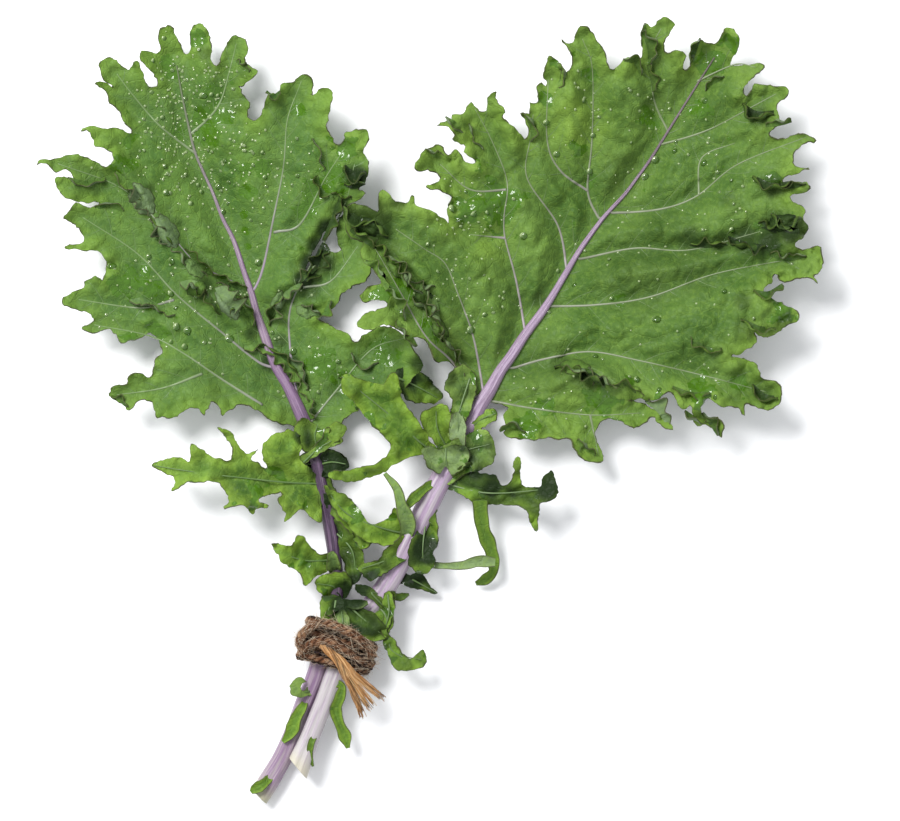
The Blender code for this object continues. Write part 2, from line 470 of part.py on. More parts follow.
def make_object(name, verts, faces, material=None):
    mesh = bpy.data.meshes.new(name)
    mesh.from_pydata([tuple(v) for v in verts], [], [tuple(f) for f in faces])
    mesh.validate()
    thing = bpy.data.objects.new(name, mesh)
    bpy.context.collection.objects.link(thing)
    if material:
        mesh.materials.append(material)
    return thing


def finish(name, colour, roughness):
    """A plain surface in the piece's main colour."""
    material = bpy.data.materials.new(name)
    material.use_nodes = True
    shader = material.node_tree.nodes["Principled BSDF"]
    shader.inputs["Base Color"].default_value = (*colour, 1)
    shader.inputs["Roughness"].default_value = roughness
    shader.inputs["Metallic"].default_value = 0
    return material


def blade(name, outline, stem, stretch, veins, cup, lifts, folds, material):
    """A leaf blade round its midrib's slot, from the height over its plan."""
    left, right, end = seat_line(stem, stretch)
    ring = np.vstack((plan(outline), right, end, left[::-1]))
    flat, faces = triangles(ring, BLADE_GRID)
    height = blade_height(flat, outline, stem, veins, cup, lifts, folds)
    widths = np.array(stem, float)[:, [0, 1, 3]]
    local = np.column_stack((plan(widths[:, :2]), widths[:, 2] * PIXEL))
    away, _, wide = to_path(flat, local)
    height += RIB_SEAT * wide * np.exp(-(away / RIB_SEAT_REACH) ** 2)
    verts, shell = thicken(np.column_stack((flat, height)), faces, BLADE_THICKNESS)
    return make_object(name, verts, shell, material)


def leaflet(outline, rib, cup, slope):
    """A small cut leaf over its own rib: the sheet rises from the rib and leans to one side."""
    flat, faces = triangles(plan(outline), LEAFLET_GRID)
    away, side, seat = to_path(flat, in_space(rib, LEAFLET_RIB_POINTS))
    height = seat + cup * np.minimum(away, CUP_END) ** 2 / MM + slope * side * away
    return thicken(np.column_stack((flat, height)), faces, LEAFLET_THICKNESS)


def strip(middle):
    """A narrow leaflet: a flat-sided band of changing width along its middle line."""
    line = in_space(middle, STRIP_RINGS * len(middle))
    ahead = np.gradient(line[:, :3], axis=0)
    ahead /= np.linalg.norm(ahead, axis=1)[:, None]
    across = np.cross((0, 0, 1), ahead)
    across /= np.linalg.norm(across, axis=1)[:, None]
    up = np.cross(ahead, across)
    half = (line[:, 3] * PIXEL)[:, None]
    thick = LEAFLET_THICKNESS / 2
    corners = (across * half + up * thick, -across * half + up * thick,
               -across * half - up * thick, across * half - up * thick)
    return skin([line[:, :3] + corner for corner in corners])


def skin(lines):
    """A closed tube through lines of points that run side by side, with flat ends."""
    sides, count = len(lines), len(lines[0])
    verts = np.stack(lines, axis=1).reshape(-1, 3)
    faces = []
    for k in range(count - 1):
        for s in range(sides):
            i, j = k * sides + s, k * sides + (s + 1) % sides
            faces.append((i, j, j + sides, i + sides))
    faces.append(tuple(range(sides))[::-1])
    faces.append(tuple((count - 1) * sides + s for s in range(sides)))
    return verts, faces


def stem_tube(stem, slant):
    """A petiole that thins into a midrib, oval with a groove on top and a slanting cut."""
    line = in_space(stem, STEM_RINGS)
    ahead = np.gradient(line[:, :3], axis=0)
    ahead /= np.linalg.norm(ahead, axis=1)[:, None]
    across = np.cross((0, 0, 1), ahead)
    across /= np.linalg.norm(across, axis=1)[:, None]
    up = np.cross(ahead, across)
    half = line[:, 3:4] * PIXEL / 2
    shear = slant * np.exp(-np.arange(STEM_RINGS) / CUT_RINGS)[:, None]
    lines = []
    for turn in np.arange(STEM_SIDES) * 2 * np.pi / STEM_SIDES + np.pi / 2:
        groove = 1 - GROOVE_DEPTH * np.exp(-((turn - np.pi / 2) / GROOVE_WIDTH) ** 2)
        if turn > 1.5 * np.pi:
            groove = 1 - GROOVE_DEPTH * np.exp(-((turn - 2.5 * np.pi) / GROOVE_WIDTH) ** 2)
        flat, tall = np.cos(turn) * groove, np.sin(turn) * groove * STEM_FLATNESS
        lines.append(line[:, :3] + half * (flat * across + tall * up + shear * flat * ahead))
    return skin(lines)


def round_strand(line):
    """The round twine along a line of points, with a frame carried along it."""
    ahead = np.gradient(line, axis=0)
    ahead /= np.linalg.norm(ahead, axis=1)[:, None]
    across = np.zeros_like(line)
    side = np.cross(ahead[0], (0.0, 0.0, 1.0))
    for k, way in enumerate(ahead):
        side = side - way * (side @ way)
        side /= np.linalg.norm(side)
        across[k] = side
    up = np.cross(ahead, across)
    turns = (np.arange(TWINE_SIDES) + 0.5) * 2 * np.pi / TWINE_SIDES
    return skin([line + TWINE_RADIUS * (np.cos(a) * up - np.sin(a) * across) for a in turns])


def fuse(name, pieces, material):
    """One body from pieces that run into each other, by a union over a collection."""
    first = make_object(name, *pieces[0], material)
    group = bpy.data.collections.new(name + "_pieces")
    bpy.context.scene.collection.children.link(group)
    others = []
    for k, piece in enumerate(pieces[1:]):
        other = make_object(name + "_piece_" + str(k), *piece)
        bpy.context.collection.objects.unlink(other)
        group.objects.link(other)
        others.append(other)
    union = first.modifiers.new("union", "BOOLEAN")
    union.operation = "UNION"
    union.operand_type = "COLLECTION"
    union.collection = group
    union.solver = "EXACT"
    bpy.context.view_layer.update()
    joined = bpy.data.meshes.new_from_object(first.evaluated_get(bpy.context.evaluated_depsgraph_get()))
    first.modifiers.clear()
    first.data = joined
    for other in others:
        bpy.data.objects.remove(other)
    bpy.data.collections.remove(group)
    return first


def leafy_stem(name, stem, slant, leaflets, strips, material):
    """A petiole and midrib with all the leaflets that grow from it."""
    pieces = [stem_tube(stem, slant)]
    pieces += [leaflet(*row) for row in leaflets.values()]
    pieces += [strip(row) for row in strips.values()]
    return fuse(name, pieces, material)


def tie_point(turn, share):
    """A point of the winding: a rounded box round both stems that moves along them."""
    along = np.array((TIE_AXIS[0], -TIE_AXIS[1])) / np.hypot(*TIE_AXIS)
    across = np.array((-along[1], along[0]))
    side = np.sign(np.cos(turn)) * np.abs(np.cos(turn)) ** TIE_ROUNDING * TIE_HALF_WIDTH
    tall = np.sign(np.sin(turn)) * np.abs(np.sin(turn)) ** TIE_ROUNDING * TIE_HALF_HEIGHT
    centre = plan([TIE_CENTRE])[0] + along * (share - 0.5) * TIE_LENGTH
    flat = centre + across * side
    return flat[0], flat[1], TIE_CENTRE_HEIGHT + tall


def twine_tie(material):
    """Twine wound round the stems, with the knot's strand and the frayed end on top."""
    shares = np.linspace(0, 1, WINDING_POINTS)
    turns = 0.5 * np.pi + 2 * np.pi * TIE_TURNS * shares
    winding = smooth([tie_point(*at) for at in zip(turns, shares)], TWINE_RINGS)
    pieces = [round_strand(winding), round_strand(in_space(KNOT, KNOT_RINGS))]
    flat, faces = triangles(plan(FRAY_OUTLINE), LEAFLET_GRID)
    height = to_path(flat, in_space(FRAY_RIB, LEAFLET_RIB_POINTS))[2]
    pieces.append(thicken(np.column_stack((flat, height)), faces, FRAY_THICKNESS))
    for verts, _ in pieces:
        verts[:, 2] = np.maximum(verts[:, 2], 0)
    return fuse("twine_tie", pieces, material)


def main():
    for thing in list(bpy.data.objects):
        bpy.data.objects.remove(thing)
    green_left = finish("blade_green", (0.115, 0.262, 0.053), 0.5)
    green_right = finish("blade_green_deep", (0.100, 0.240, 0.050), 0.5)
    violet = finish("petiole_violet", (0.216, 0.100, 0.287), 0.45)
    lilac = finish("petiole_lilac", (0.450, 0.350, 0.500), 0.45)
    jute = finish("jute", (0.195, 0.084, 0.040), 0.9)
    blade("leaf_left_blade", LEFT_OUTLINE, LEFT_STEM, LEFT_SLOT, LEFT_VEINS, LEFT_CUP, LEFT_LIFTS,
          LEFT_FOLDS, green_left)
    blade("leaf_right_blade", RIGHT_OUTLINE, RIGHT_STEM, RIGHT_SLOT, RIGHT_VEINS, RIGHT_CUP,
          RIGHT_LIFTS, RIGHT_FOLDS, green_right)
    leafy_stem("leaf_left_stem", LEFT_STEM, CUT_SLANT_LEFT, LEFT_LEAFLETS, LEFT_STRIPS, violet)
    leafy_stem("leaf_right_stem", RIGHT_STEM, CUT_SLANT_RIGHT, RIGHT_LEAFLETS, RIGHT_STRIPS, lilac)
    twine_tie(jute)


main()
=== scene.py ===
import bpy
import numpy as np
from mathutils.geometry import delaunay_2d_cdt
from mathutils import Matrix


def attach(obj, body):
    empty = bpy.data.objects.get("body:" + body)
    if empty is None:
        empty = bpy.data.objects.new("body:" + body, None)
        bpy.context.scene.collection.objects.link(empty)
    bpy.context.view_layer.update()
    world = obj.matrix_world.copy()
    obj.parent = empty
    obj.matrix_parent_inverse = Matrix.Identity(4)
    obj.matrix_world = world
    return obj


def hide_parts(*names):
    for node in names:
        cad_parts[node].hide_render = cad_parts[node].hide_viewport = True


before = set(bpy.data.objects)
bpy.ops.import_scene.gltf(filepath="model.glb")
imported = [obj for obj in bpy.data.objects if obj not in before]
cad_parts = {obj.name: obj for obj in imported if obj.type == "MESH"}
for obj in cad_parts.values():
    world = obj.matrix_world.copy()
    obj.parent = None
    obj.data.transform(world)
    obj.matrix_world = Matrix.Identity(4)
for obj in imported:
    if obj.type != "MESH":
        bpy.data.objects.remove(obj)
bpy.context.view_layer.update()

# A tied bunch of purple kale, lying flat and seen from above. Outlines are in picture columns
# and rows, as in the frame's own source, and heights are in millimetres.
MM = 0.001
BUNCH_LENGTH = 0.3276          # from the cut stems to the highest leaf tip, in plan
BLADE_THICKNESS = 0.6 * MM
LEAFLET_THICKNESS = 0.55 * MM
CURL_THICKNESS = 0.4 * MM
CURL_LIFT = 0.5 * MM           # height of a curl's foot over the blade's own height
TOOTH = 5.5 * MM               # length of one wave along a curl's free edge
LOWEST = 0.4 * MM              # leaflets and strips stay above this
HIGHEST = 30 * MM              # above this the blades are pressed flatter
RIM_WIDTH = 0.28 * MM          # the dark line round a leaf
ON_RING = 0.01 * MM            # points nearer to the outline than this lie on it
RIB_SINK = 0.10                # how high the skin meets the midrib, as a share of its width
TWINE_RADIUS = 2.3 * MM
TIE_HALF_WIDTH = 14.2 * MM     # centre of the twine, across the two stems
TIE_LENGTH = 15.6 * MM         # along the stems, between the first and the last turn
TIE_TURNS = 3.2
TIE_CENTRE_HEIGHT = 9.45 * MM
TIE_HALF_HEIGHT = 7.75 * MM
TIE_ROUNDING = 0.75            # 1 winds in an oval, less in a box with rounded corners
BLADE_GRID = 1.05 * MM         # spacing of the points inside a blade
LEAFLET_GRID = 0.9 * MM
CUP_END = 9 * MM               # a leaflet stops rising this far from its rib
HEX_ROW = 0.866                # distance between the rows of a hexagonal grid, over its spacing
BLOCK = 2500                   # points that are worked out at a time
STEM_STATIONS, STEM_SIDES = 420, 36
RIB_STATIONS = 24              # along a leaflet's rib
VEIN_SIDES = 8
PLY_SIDES = 12
PLY_PITCH = 8.5 * MM           # length in which the plies twist once round
LOOP_PITCH = 7.5 * MM          # the same in the knot's loop
SIDE_VEIN_RADII = (0.22 * MM, 0.09 * MM)    # at the foot and at the end
LEAFLET_RIB_RADII = (0.50 * MM, 0.15 * MM)
SIDE_VEIN_TINT, RIB_TINT = -0.6, -0.65      # below nought, so mostly leaf green
LEAFLET_WET = 0.12             # how wet leaflets are, 1 being a film of water
# PLAIN_TONE: painted shade and pale underside for a leaflet that has no tone of its own.
PLAIN_TONE = (0.12, 0.0)       # the tones of a leaflet that has none of its own
DROP_FLATNESS = 0.62           # height of a drop over its radius

# The picture's frame: rows between the cut stems and the highest tip, and the plan's centre.
ROW_TOP, ROW_BOTTOM = 20, 800
CENTRE_COLUMN, CENTRE_ROW = 430, 412
PIXEL = BUNCH_LENGTH / (ROW_BOTTOM - ROW_TOP)
BLADE_ROW = 440                # the blades begin above this row

# The camera straight above the picture's centre, the lamp and the sky.
CAMERA_HEIGHT = 2.5
VIEW_PLANE = 10 * MM           # the height at which the picture's width is true
VIEW_WIDTH = 900 * PIXEL
PICTURE_CENTRE = (450, 410.5)
KEY_PLACE = (-0.92, 1.02, 1.78)
KEY_POWER = 64.0
SKY_STRENGTH = 0.82

# Colours that all the leaves or fibres share.
WET_GREEN = (0.048, 0.130, 0.002)
NET_GREEN = (0.175, 0.29, 0.050)
FINE_VEIN_GREEN = (0.060, 0.125, 0.022)
# SHADE_GREEN: painted shade on the leaves.
SHADE_GREEN = (0.012, 0.025, 0.006)
RIM_BROWN = (0.050, 0.040, 0.022)
# CREASE_BROWN: painted shade in the twine's creases and the knot's middle, and the colour of the darker
# loose fibres.
CREASE_BROWN = (0.012, 0.005, 0.003)

# Midribs with petioles: column, row, height of the centre in mm, width in columns.
LEFT_STEM = [
    (259, 797, 4.7, 20), (271, 778, 5.0, 20), (283, 757, 5.3, 19), (291, 738, 5.8, 18),
    (299, 718, 6.4, 18), (306, 700, 7.1, 18), (313, 683, 7.9, 18), (318, 668, 8.6, 17.5),
    (323, 648, 9.2, 17), (330, 620, 9.6, 16), (336, 590, 9.6, 15), (335, 560, 9.4, 14),
    (331, 530, 9.0, 14), (325, 500, 8.5, 14), (318, 465, 7.8, 13.5), (309, 435, 7.1, 13),
    (299, 410, 6.4, 13), (287, 385, 5.7, 12), (275, 365, 5.1, 11), (264, 335, 4.3, 10),
    (256, 312, 3.6, 9), (251, 293, 2.9, 8), (243, 270, 1.9, 7), (233, 240, 1.2, 6),
    (222, 218, 1.5, 5), (212, 192, 2.3, 4.6), (203, 172, 3.5, 4.2), (194, 150, 5.2, 4),
    (187, 120, 8.0, 3.6), (182, 95, 10.8, 3.2), (177, 66, 14.0, 2.8),
]
RIGHT_STEM = [
    (298, 768, 11.4, 23), (307, 745, 11.3, 20), (316, 722, 11.2, 19), (325, 700, 11.1, 19),
    (334, 676, 11.0, 19), (345, 648, 10.7, 19), (360, 620, 10.7, 20), (385, 588, 10.8, 21),
    (407, 548, 10.9, 22), (430, 500, 10.7, 22), (450, 462, 10.2, 21), (470, 425, 9.4, 19),
    (480, 405, 8.8, 16), (490, 390, 8.3, 14), (500, 372, 7.7, 13), (512, 355, 7.0, 12),
    (525, 335, 6.3, 11), (540, 315, 5.3, 10), (550, 300, 4.6, 9), (565, 275, 3.2, 8),
    (580, 250, 1.9, 7), (600, 222, 1.2, 6), (612, 208, 1.25, 5.5), (625, 194, 1.7, 5),
    (637, 178, 2.3, 4.6), (650, 160, 3.3, 4.2), (662, 141, 4.6, 4), (680, 112, 7.6, 3.6),
    (700, 80, 11.6, 3.2), (714, 58, 14.4, 2.8),
]
STEM_FLATNESS = 0.94           # height of a petiole over its width
GROOVE_DEPTH = 0.16            # of the groove along the upper side, as a share of the radius
GROOVE_WIDTH = 0.42            # in radians
CUT_SLANT_LEFT = 0.25          # slope of the cut end across the stem
CUT_SLANT_RIGHT = 0.55

# The blades' edges, walked from the base up the left side and down the right side.
LEFT_OUTLINE = [
    (284, 424), (268, 419), (258, 411), (247, 406), (240, 404), (233, 408), (227, 414), (222, 416),
    (220, 408), (213, 402), (210, 405), (206, 416), (202, 413), (198, 408), (189, 408), (176, 417),
    (165, 417), (158, 418), (154, 405), (150, 401), (142, 400), (137, 403), (133, 409), (128, 411),
    (126, 405), (115, 400), (110, 396), (113, 388), (120, 385), (127, 385), (130, 377), (141, 373),
    (147, 377), (153, 375), (157, 361), (163, 352), (157, 338), (150, 334), (140, 338), (125, 343),
    (118, 339), (113, 331), (107, 330), (95, 333), (82, 328), (95, 321), (88, 312), (80, 311),
    (64, 304), (70, 294), (84, 289), (87, 282), (93, 278), (99, 277), (104, 282), (108, 265),
    (104, 256), (98, 251), (80, 250), (66, 249), (70, 245), (85, 243), (83, 233), (74, 223),
    (66, 219), (71, 212), (78, 204), (85, 208), (93, 208), (100, 204), (85, 203), (68, 200),
    (62, 193), (57, 184), (59, 179), (72, 179), (76, 180), (71, 173), (66, 171), (58, 173),
    (46, 165), (39, 167), (43, 162), (58, 160), (71, 155), (80, 156), (97, 162), (106, 168),
    (116, 163), (115, 157), (112, 152), (99, 149), (97, 143), (89, 132), (83, 132), (92, 128),
    (109, 130), (121, 130), (131, 135), (132, 130), (126, 125), (121, 113), (115, 108), (111, 103),
    (106, 91), (97, 86), (102, 84), (114, 88), (110, 84), (104, 79), (101, 64), (114, 59),
    (121, 65), (129, 72), (135, 64), (139, 63), (144, 73), (148, 85), (152, 88), (158, 85),
    (155, 75), (149, 69), (141, 58), (147, 51), (156, 55), (161, 49), (160, 33), (165, 28),
    (171, 27), (176, 33), (182, 48), (186, 55), (191, 50), (191, 32), (198, 24), (208, 30),
    (213, 49), (211, 60), (217, 67), (221, 60), (226, 48), (234, 37), (246, 41), (249, 51),
    (245, 60), (248, 66), (258, 73), (253, 80), (243, 86), (239, 87), (246, 97), (250, 104),
    (248, 115), (253, 122), (261, 117), (265, 105), (270, 97), (279, 93), (282, 85), (293, 83),
    (303, 76), (313, 81), (313, 96), (320, 91), (327, 89), (333, 95), (331, 110), (328, 122),
    (330, 136), (338, 144), (345, 140), (346, 133), (357, 131), (367, 132), (368, 145), (363, 153),
    (369, 163), (366, 182), (358, 190), (367, 194), (356, 202), (340, 212), (330, 222), (322, 236),
    (314, 250), (308, 262), (305, 276), (318, 262), (328, 253), (340, 250), (337, 236), (337, 222),
    (345, 214), (355, 220), (365, 232), (372, 250), (372, 270), (365, 283), (352, 286), (342, 295),
    (335, 307), (325, 314), (318, 319), (330, 325), (345, 333), (357, 342), (363, 335), (372, 330),
    (380, 325), (393, 328), (403, 334), (411, 342), (416, 353), (421, 360), (422, 369), (415, 376),
    (408, 385), (400, 393), (385, 400), (370, 403), (357, 411), (345, 419), (338, 429), (326, 432),
]
RIGHT_OUTLINE = [
    (466, 398), (463, 380), (455, 368), (446, 361), (436, 362), (430, 352), (429, 343), (418, 338),
    (404, 334), (394, 328), (384, 325), (374, 330), (360, 328), (358, 321), (366, 314), (382, 310),
    (388, 305), (378, 301), (366, 303), (360, 296), (370, 287), (382, 285), (374, 272), (364, 262),
    (361, 253), (364, 243), (352, 239), (345, 228), (344, 214), (352, 205), (363, 206), (378, 213),
    (380, 196), (384, 192), (396, 202), (408, 204), (413, 197), (416, 206), (427, 212), (435, 214),
    (443, 219), (449, 225), (447, 209), (451, 198), (441, 193), (426, 188), (440, 183), (438, 175),
    (430, 172), (416, 172), (419, 159), (428, 149), (439, 147), (448, 157), (452, 151), (458, 151),
    (463, 160), (470, 164), (475, 163), (465, 154), (464, 147), (453, 143), (455, 136), (446, 129),
    (437, 128), (441, 123), (449, 122), (455, 131), (460, 131), (452, 118), (461, 115), (471, 103),
    (479, 112), (487, 111), (488, 99), (495, 94), (496, 101), (504, 113), (502, 118), (509, 125),
    (523, 138), (528, 133), (524, 119), (519, 114), (530, 115), (529, 103), (538, 103), (536, 89),
    (541, 83), (546, 86), (544, 74), (548, 58), (557, 63), (563, 75), (570, 69), (569, 52),
    (561, 42), (572, 45), (579, 28), (588, 32), (603, 52), (608, 69), (617, 68), (626, 59),
    (640, 59), (640, 38), (644, 26), (651, 29), (659, 21), (667, 20), (674, 27), (664, 41),
    (663, 50), (668, 54), (680, 53), (684, 60), (682, 70), (690, 68), (692, 52), (699, 42),
    (710, 44), (717, 43), (722, 32), (729, 29), (738, 37), (738, 49), (729, 64), (740, 67),
    (760, 64), (763, 69), (751, 80), (742, 91), (746, 98), (755, 86), (772, 87), (784, 89),
    (786, 97), (776, 107), (777, 124), (767, 135), (780, 140), (797, 135), (808, 136), (813, 143),
    (801, 145), (793, 156), (793, 168), (807, 170), (795, 174), (782, 181), (789, 187), (804, 184),
    (808, 191), (794, 195), (789, 200), (803, 210), (801, 219), (805, 229), (800, 238), (791, 246),
    (799, 250), (812, 248), (819, 252), (819, 269), (812, 278), (815, 285), (805, 278), (782, 282),
    (774, 275), (768, 285), (762, 294), (781, 305), (796, 312), (794, 322), (784, 326), (774, 335),
    (762, 338), (752, 332), (755, 343), (740, 353), (730, 356), (751, 362), (757, 372), (763, 380),
    (775, 382), (779, 389), (778, 402), (768, 410), (751, 406), (743, 404), (742, 415), (736, 407),
    (720, 406), (706, 398), (700, 405), (703, 418), (714, 417), (722, 426), (720, 438), (712, 429),
    (704, 424), (694, 424), (689, 406), (681, 408), (668, 392), (658, 398), (647, 401), (637, 399),
    (628, 401), (641, 402), (650, 408), (660, 413), (671, 427), (665, 430), (651, 417), (646, 422),
    (634, 428), (618, 421), (602, 420), (595, 435), (600, 448), (603, 459), (598, 463), (580, 458),
    (573, 447), (569, 439), (552, 438), (534, 440), (515, 438), (504, 434), (506, 427), (503, 416),
    (509, 408), (500, 404),
]

# The main side veins, each from the midrib outwards. The blade dips along them.
LEFT_VEINS = [
    [(252, 292), (262, 270), (274, 215), (284, 165), (288, 120), (302, 82)],
    [(274, 232), (300, 224), (325, 180), (345, 150)],
    [(194, 152), (160, 126), (133, 95), (118, 75)],
    [(192, 132), (218, 107), (231, 68), (237, 45)],
    [(247, 288), (200, 266), (170, 235), (125, 190), (60, 165)],
    [(258, 362), (221, 332), (177, 295), (138, 254), (84, 218)],
    [(174, 300), (140, 308), (80, 300)],
    [(262, 405), (220, 378), (183, 353), (150, 336), (95, 325)],
    [(202, 374), (164, 388), (118, 395)],
    [(297, 398), (290, 350), (291, 305), (315, 258), (345, 205), (355, 165)],
    [(303, 287), (331, 281), (358, 246)],
    [(308, 425), (335, 392), (371, 350), (405, 338)],
]
RIGHT_VEINS = [
    [(480, 404), (452, 362), (426, 337), (400, 292), (373, 246), (352, 222)],
    [(484, 398), (474, 340), (458, 295), (445, 264), (425, 250), (396, 230)],
    [(525, 330), (516, 280), (505, 238), (504, 215), (507, 182), (492, 142), (475, 110)],
    [(505, 238), (470, 235)],
    [(506, 190), (470, 190), (440, 165)],
    [(567, 268), (558, 225), (527, 178), (530, 140), (533, 115)],
    [(600, 218), (588, 190), (592, 140), (592, 70), (582, 40)],
    [(588, 190), (560, 170), (547, 140), (548, 80)],
    [(668, 130), (653, 95), (652, 50), (660, 30)],
    [(512, 368), (545, 359), (590, 352), (640, 361), (700, 375), (765, 392)],
    [(545, 306), (595, 305), (650, 297), (715, 274), (800, 258)],
    [(582, 258), (636, 248), (690, 250), (760, 232)],
    [(612, 212), (660, 209), (697, 196), (737, 165), (805, 138)],
    [(699, 195), (702, 158), (735, 143)],
    [(664, 143), (710, 129), (775, 95)],
    [(700, 80), (735, 65), (755, 68)],
    [(497, 402), (530, 408), (590, 415), (640, 413)],
    [(590, 415), (598, 455)],
]

# How each blade stands: millimetres of rise far from the midrib, and the distance it takes.
LEFT_CUP = (17.0, 34.0)
RIGHT_CUP = (19.0, 44.0)
QUILT = (1.5, 6.5)             # mm that the blade puffs up between veins, and the groove's width
RUFFLE = (2.6, 11.0)           # mm of wave at the margin, and how far in it fades
RUFFLE_WAVES = [(23.0, 20.0, 0.4), (31.0, 95.0, 1.9), (27.0, 150.0, 4.1)]  # mm, degrees, phase

# Places where a lobe lies higher or lower: column, row, reach in columns, mm.
LEFT_LIFTS = [
    (345, 245, 40, -7.0), (375, 360, 60, -8.0), (325, 330, 30, -3.0), (60, 165, 40, 3.0),
    (350, 165, 30, 5.0), (175, 40, 40, -3.0), (330, 420, 20, -2.0),
]
RIGHT_LIFTS = [
    (385, 265, 60, 6.0), (430, 325, 40, 5.0), (365, 320, 30, 3.0), (660, 35, 40, 4.0),
    (800, 260, 50, 5.0), (780, 100, 50, 3.0), (590, 450, 40, -3.0), (712, 430, 20, -4.0),
    (505, 425, 18, 1.5),
]
# Folds that stand up from a blade or sink into it: path, height in mm, half width in mm.
LEFT_FOLDS = [
    ([(118, 165), (140, 190), (160, 225), (180, 255), (205, 290), (248, 325)], 6.5, 4.0),
    ([(262, 296), (282, 284), (302, 280)], 4.0, 3.5),
]
RIGHT_FOLDS = [
    ([(386, 246), (412, 280), (440, 320), (468, 366)], -5.0, 4.5),
    ([(560, 378), (590, 366), (618, 384)], 4.5, 4.0),
    ([(600, 236), (650, 232), (700, 236)], 2.0, 4.5),
    ([(620, 272), (680, 268), (740, 254)], 2.0, 4.5),
]

# Leaflets with cut edges: outline, rib (column, row, mm), rise towards the edges, side slope.
LEFT_LEAFLETS = {
    "big_left": (
        [(312, 470), (300, 458), (303, 440), (290, 430), (270, 438), (262, 450), (267, 468),
         (259, 462), (252, 458), (259, 449), (246, 455), (236, 438), (230, 431), (218, 427),
         (230, 441), (233, 456), (228, 461), (213, 456), (193, 444), (193, 456), (190, 461),
         (180, 457), (165, 460), (153, 465), (165, 472), (177, 480), (173, 491), (188, 483),
         (206, 481), (221, 484), (230, 499), (226, 508), (244, 504), (253, 514), (258, 508),
         (268, 506), (260, 498), (281, 493), (278, 500), (285, 511), (284, 522), (293, 516),
         (302, 509), (313, 519), (321, 522), (322, 505), (322, 490)],
        [(322, 484, 8.5), (284, 482, 15), (239, 477, 21), (198, 472, 23), (153, 465, 21)], 0.02, 0.05),
    "left_middle": (
        [(334, 552), (318, 553), (300, 534), (292, 545), (273, 543), (280, 557), (288, 566),
         (300, 573), (306, 585), (318, 575), (332, 568)],
        [(335, 560, 9.4), (305, 560, 15), (275, 550, 19)], 0.04, -0.1),
    "left_low": (
        [(340, 572), (326, 574), (316, 582), (326, 597), (344, 597), (352, 586), (348, 573)],
        [(337, 596, 8.5), (336, 591, 10), (333, 586, 14), (318, 583, 18)], 0.03, 0.0),
    "left_drape": (
        [(338, 592), (325, 594), (321, 604), (324, 613), (334, 614), (341, 603)],
        [(334, 598, 10.0), (330, 606, 15.5), (328, 613, 18.5)], 0.03, 0.1),
    "right_upper": (
        [(322, 470), (335, 488), (352, 512), (366, 528), (372, 542), (360, 548), (350, 532),
         (338, 520), (326, 508)],
        [(323, 486, 8.8), (342, 514, 14.5), (364, 540, 17)], 0.03, 0.1),
    "right_side": (
        [(333, 520), (346, 524), (358, 540), (364, 560), (360, 580), (350, 583), (343, 560),
         (337, 540)],
        [(333, 530, 9.5), (352, 550, 13.5), (356, 578, 13)], 0.03, 0.2),
    "below_tie_round": (
        [(318, 684), (309, 686), (303, 690), (302, 684), (308, 682), (302, 678), (294, 679),
         (290, 685), (291, 692), (298, 697), (307, 696), (316, 694)],
        [(313, 689, 7.8), (305, 692, 12.5), (292, 687, 14)], 0.03, 0.0),
    "dark_round": (
        [(322, 452), (336, 450), (346, 462), (348, 470), (334, 474), (322, 476)],
        [(318, 465, 8.0), (332, 462, 12), (346, 464, 14)], 0.03, 0.0),
}
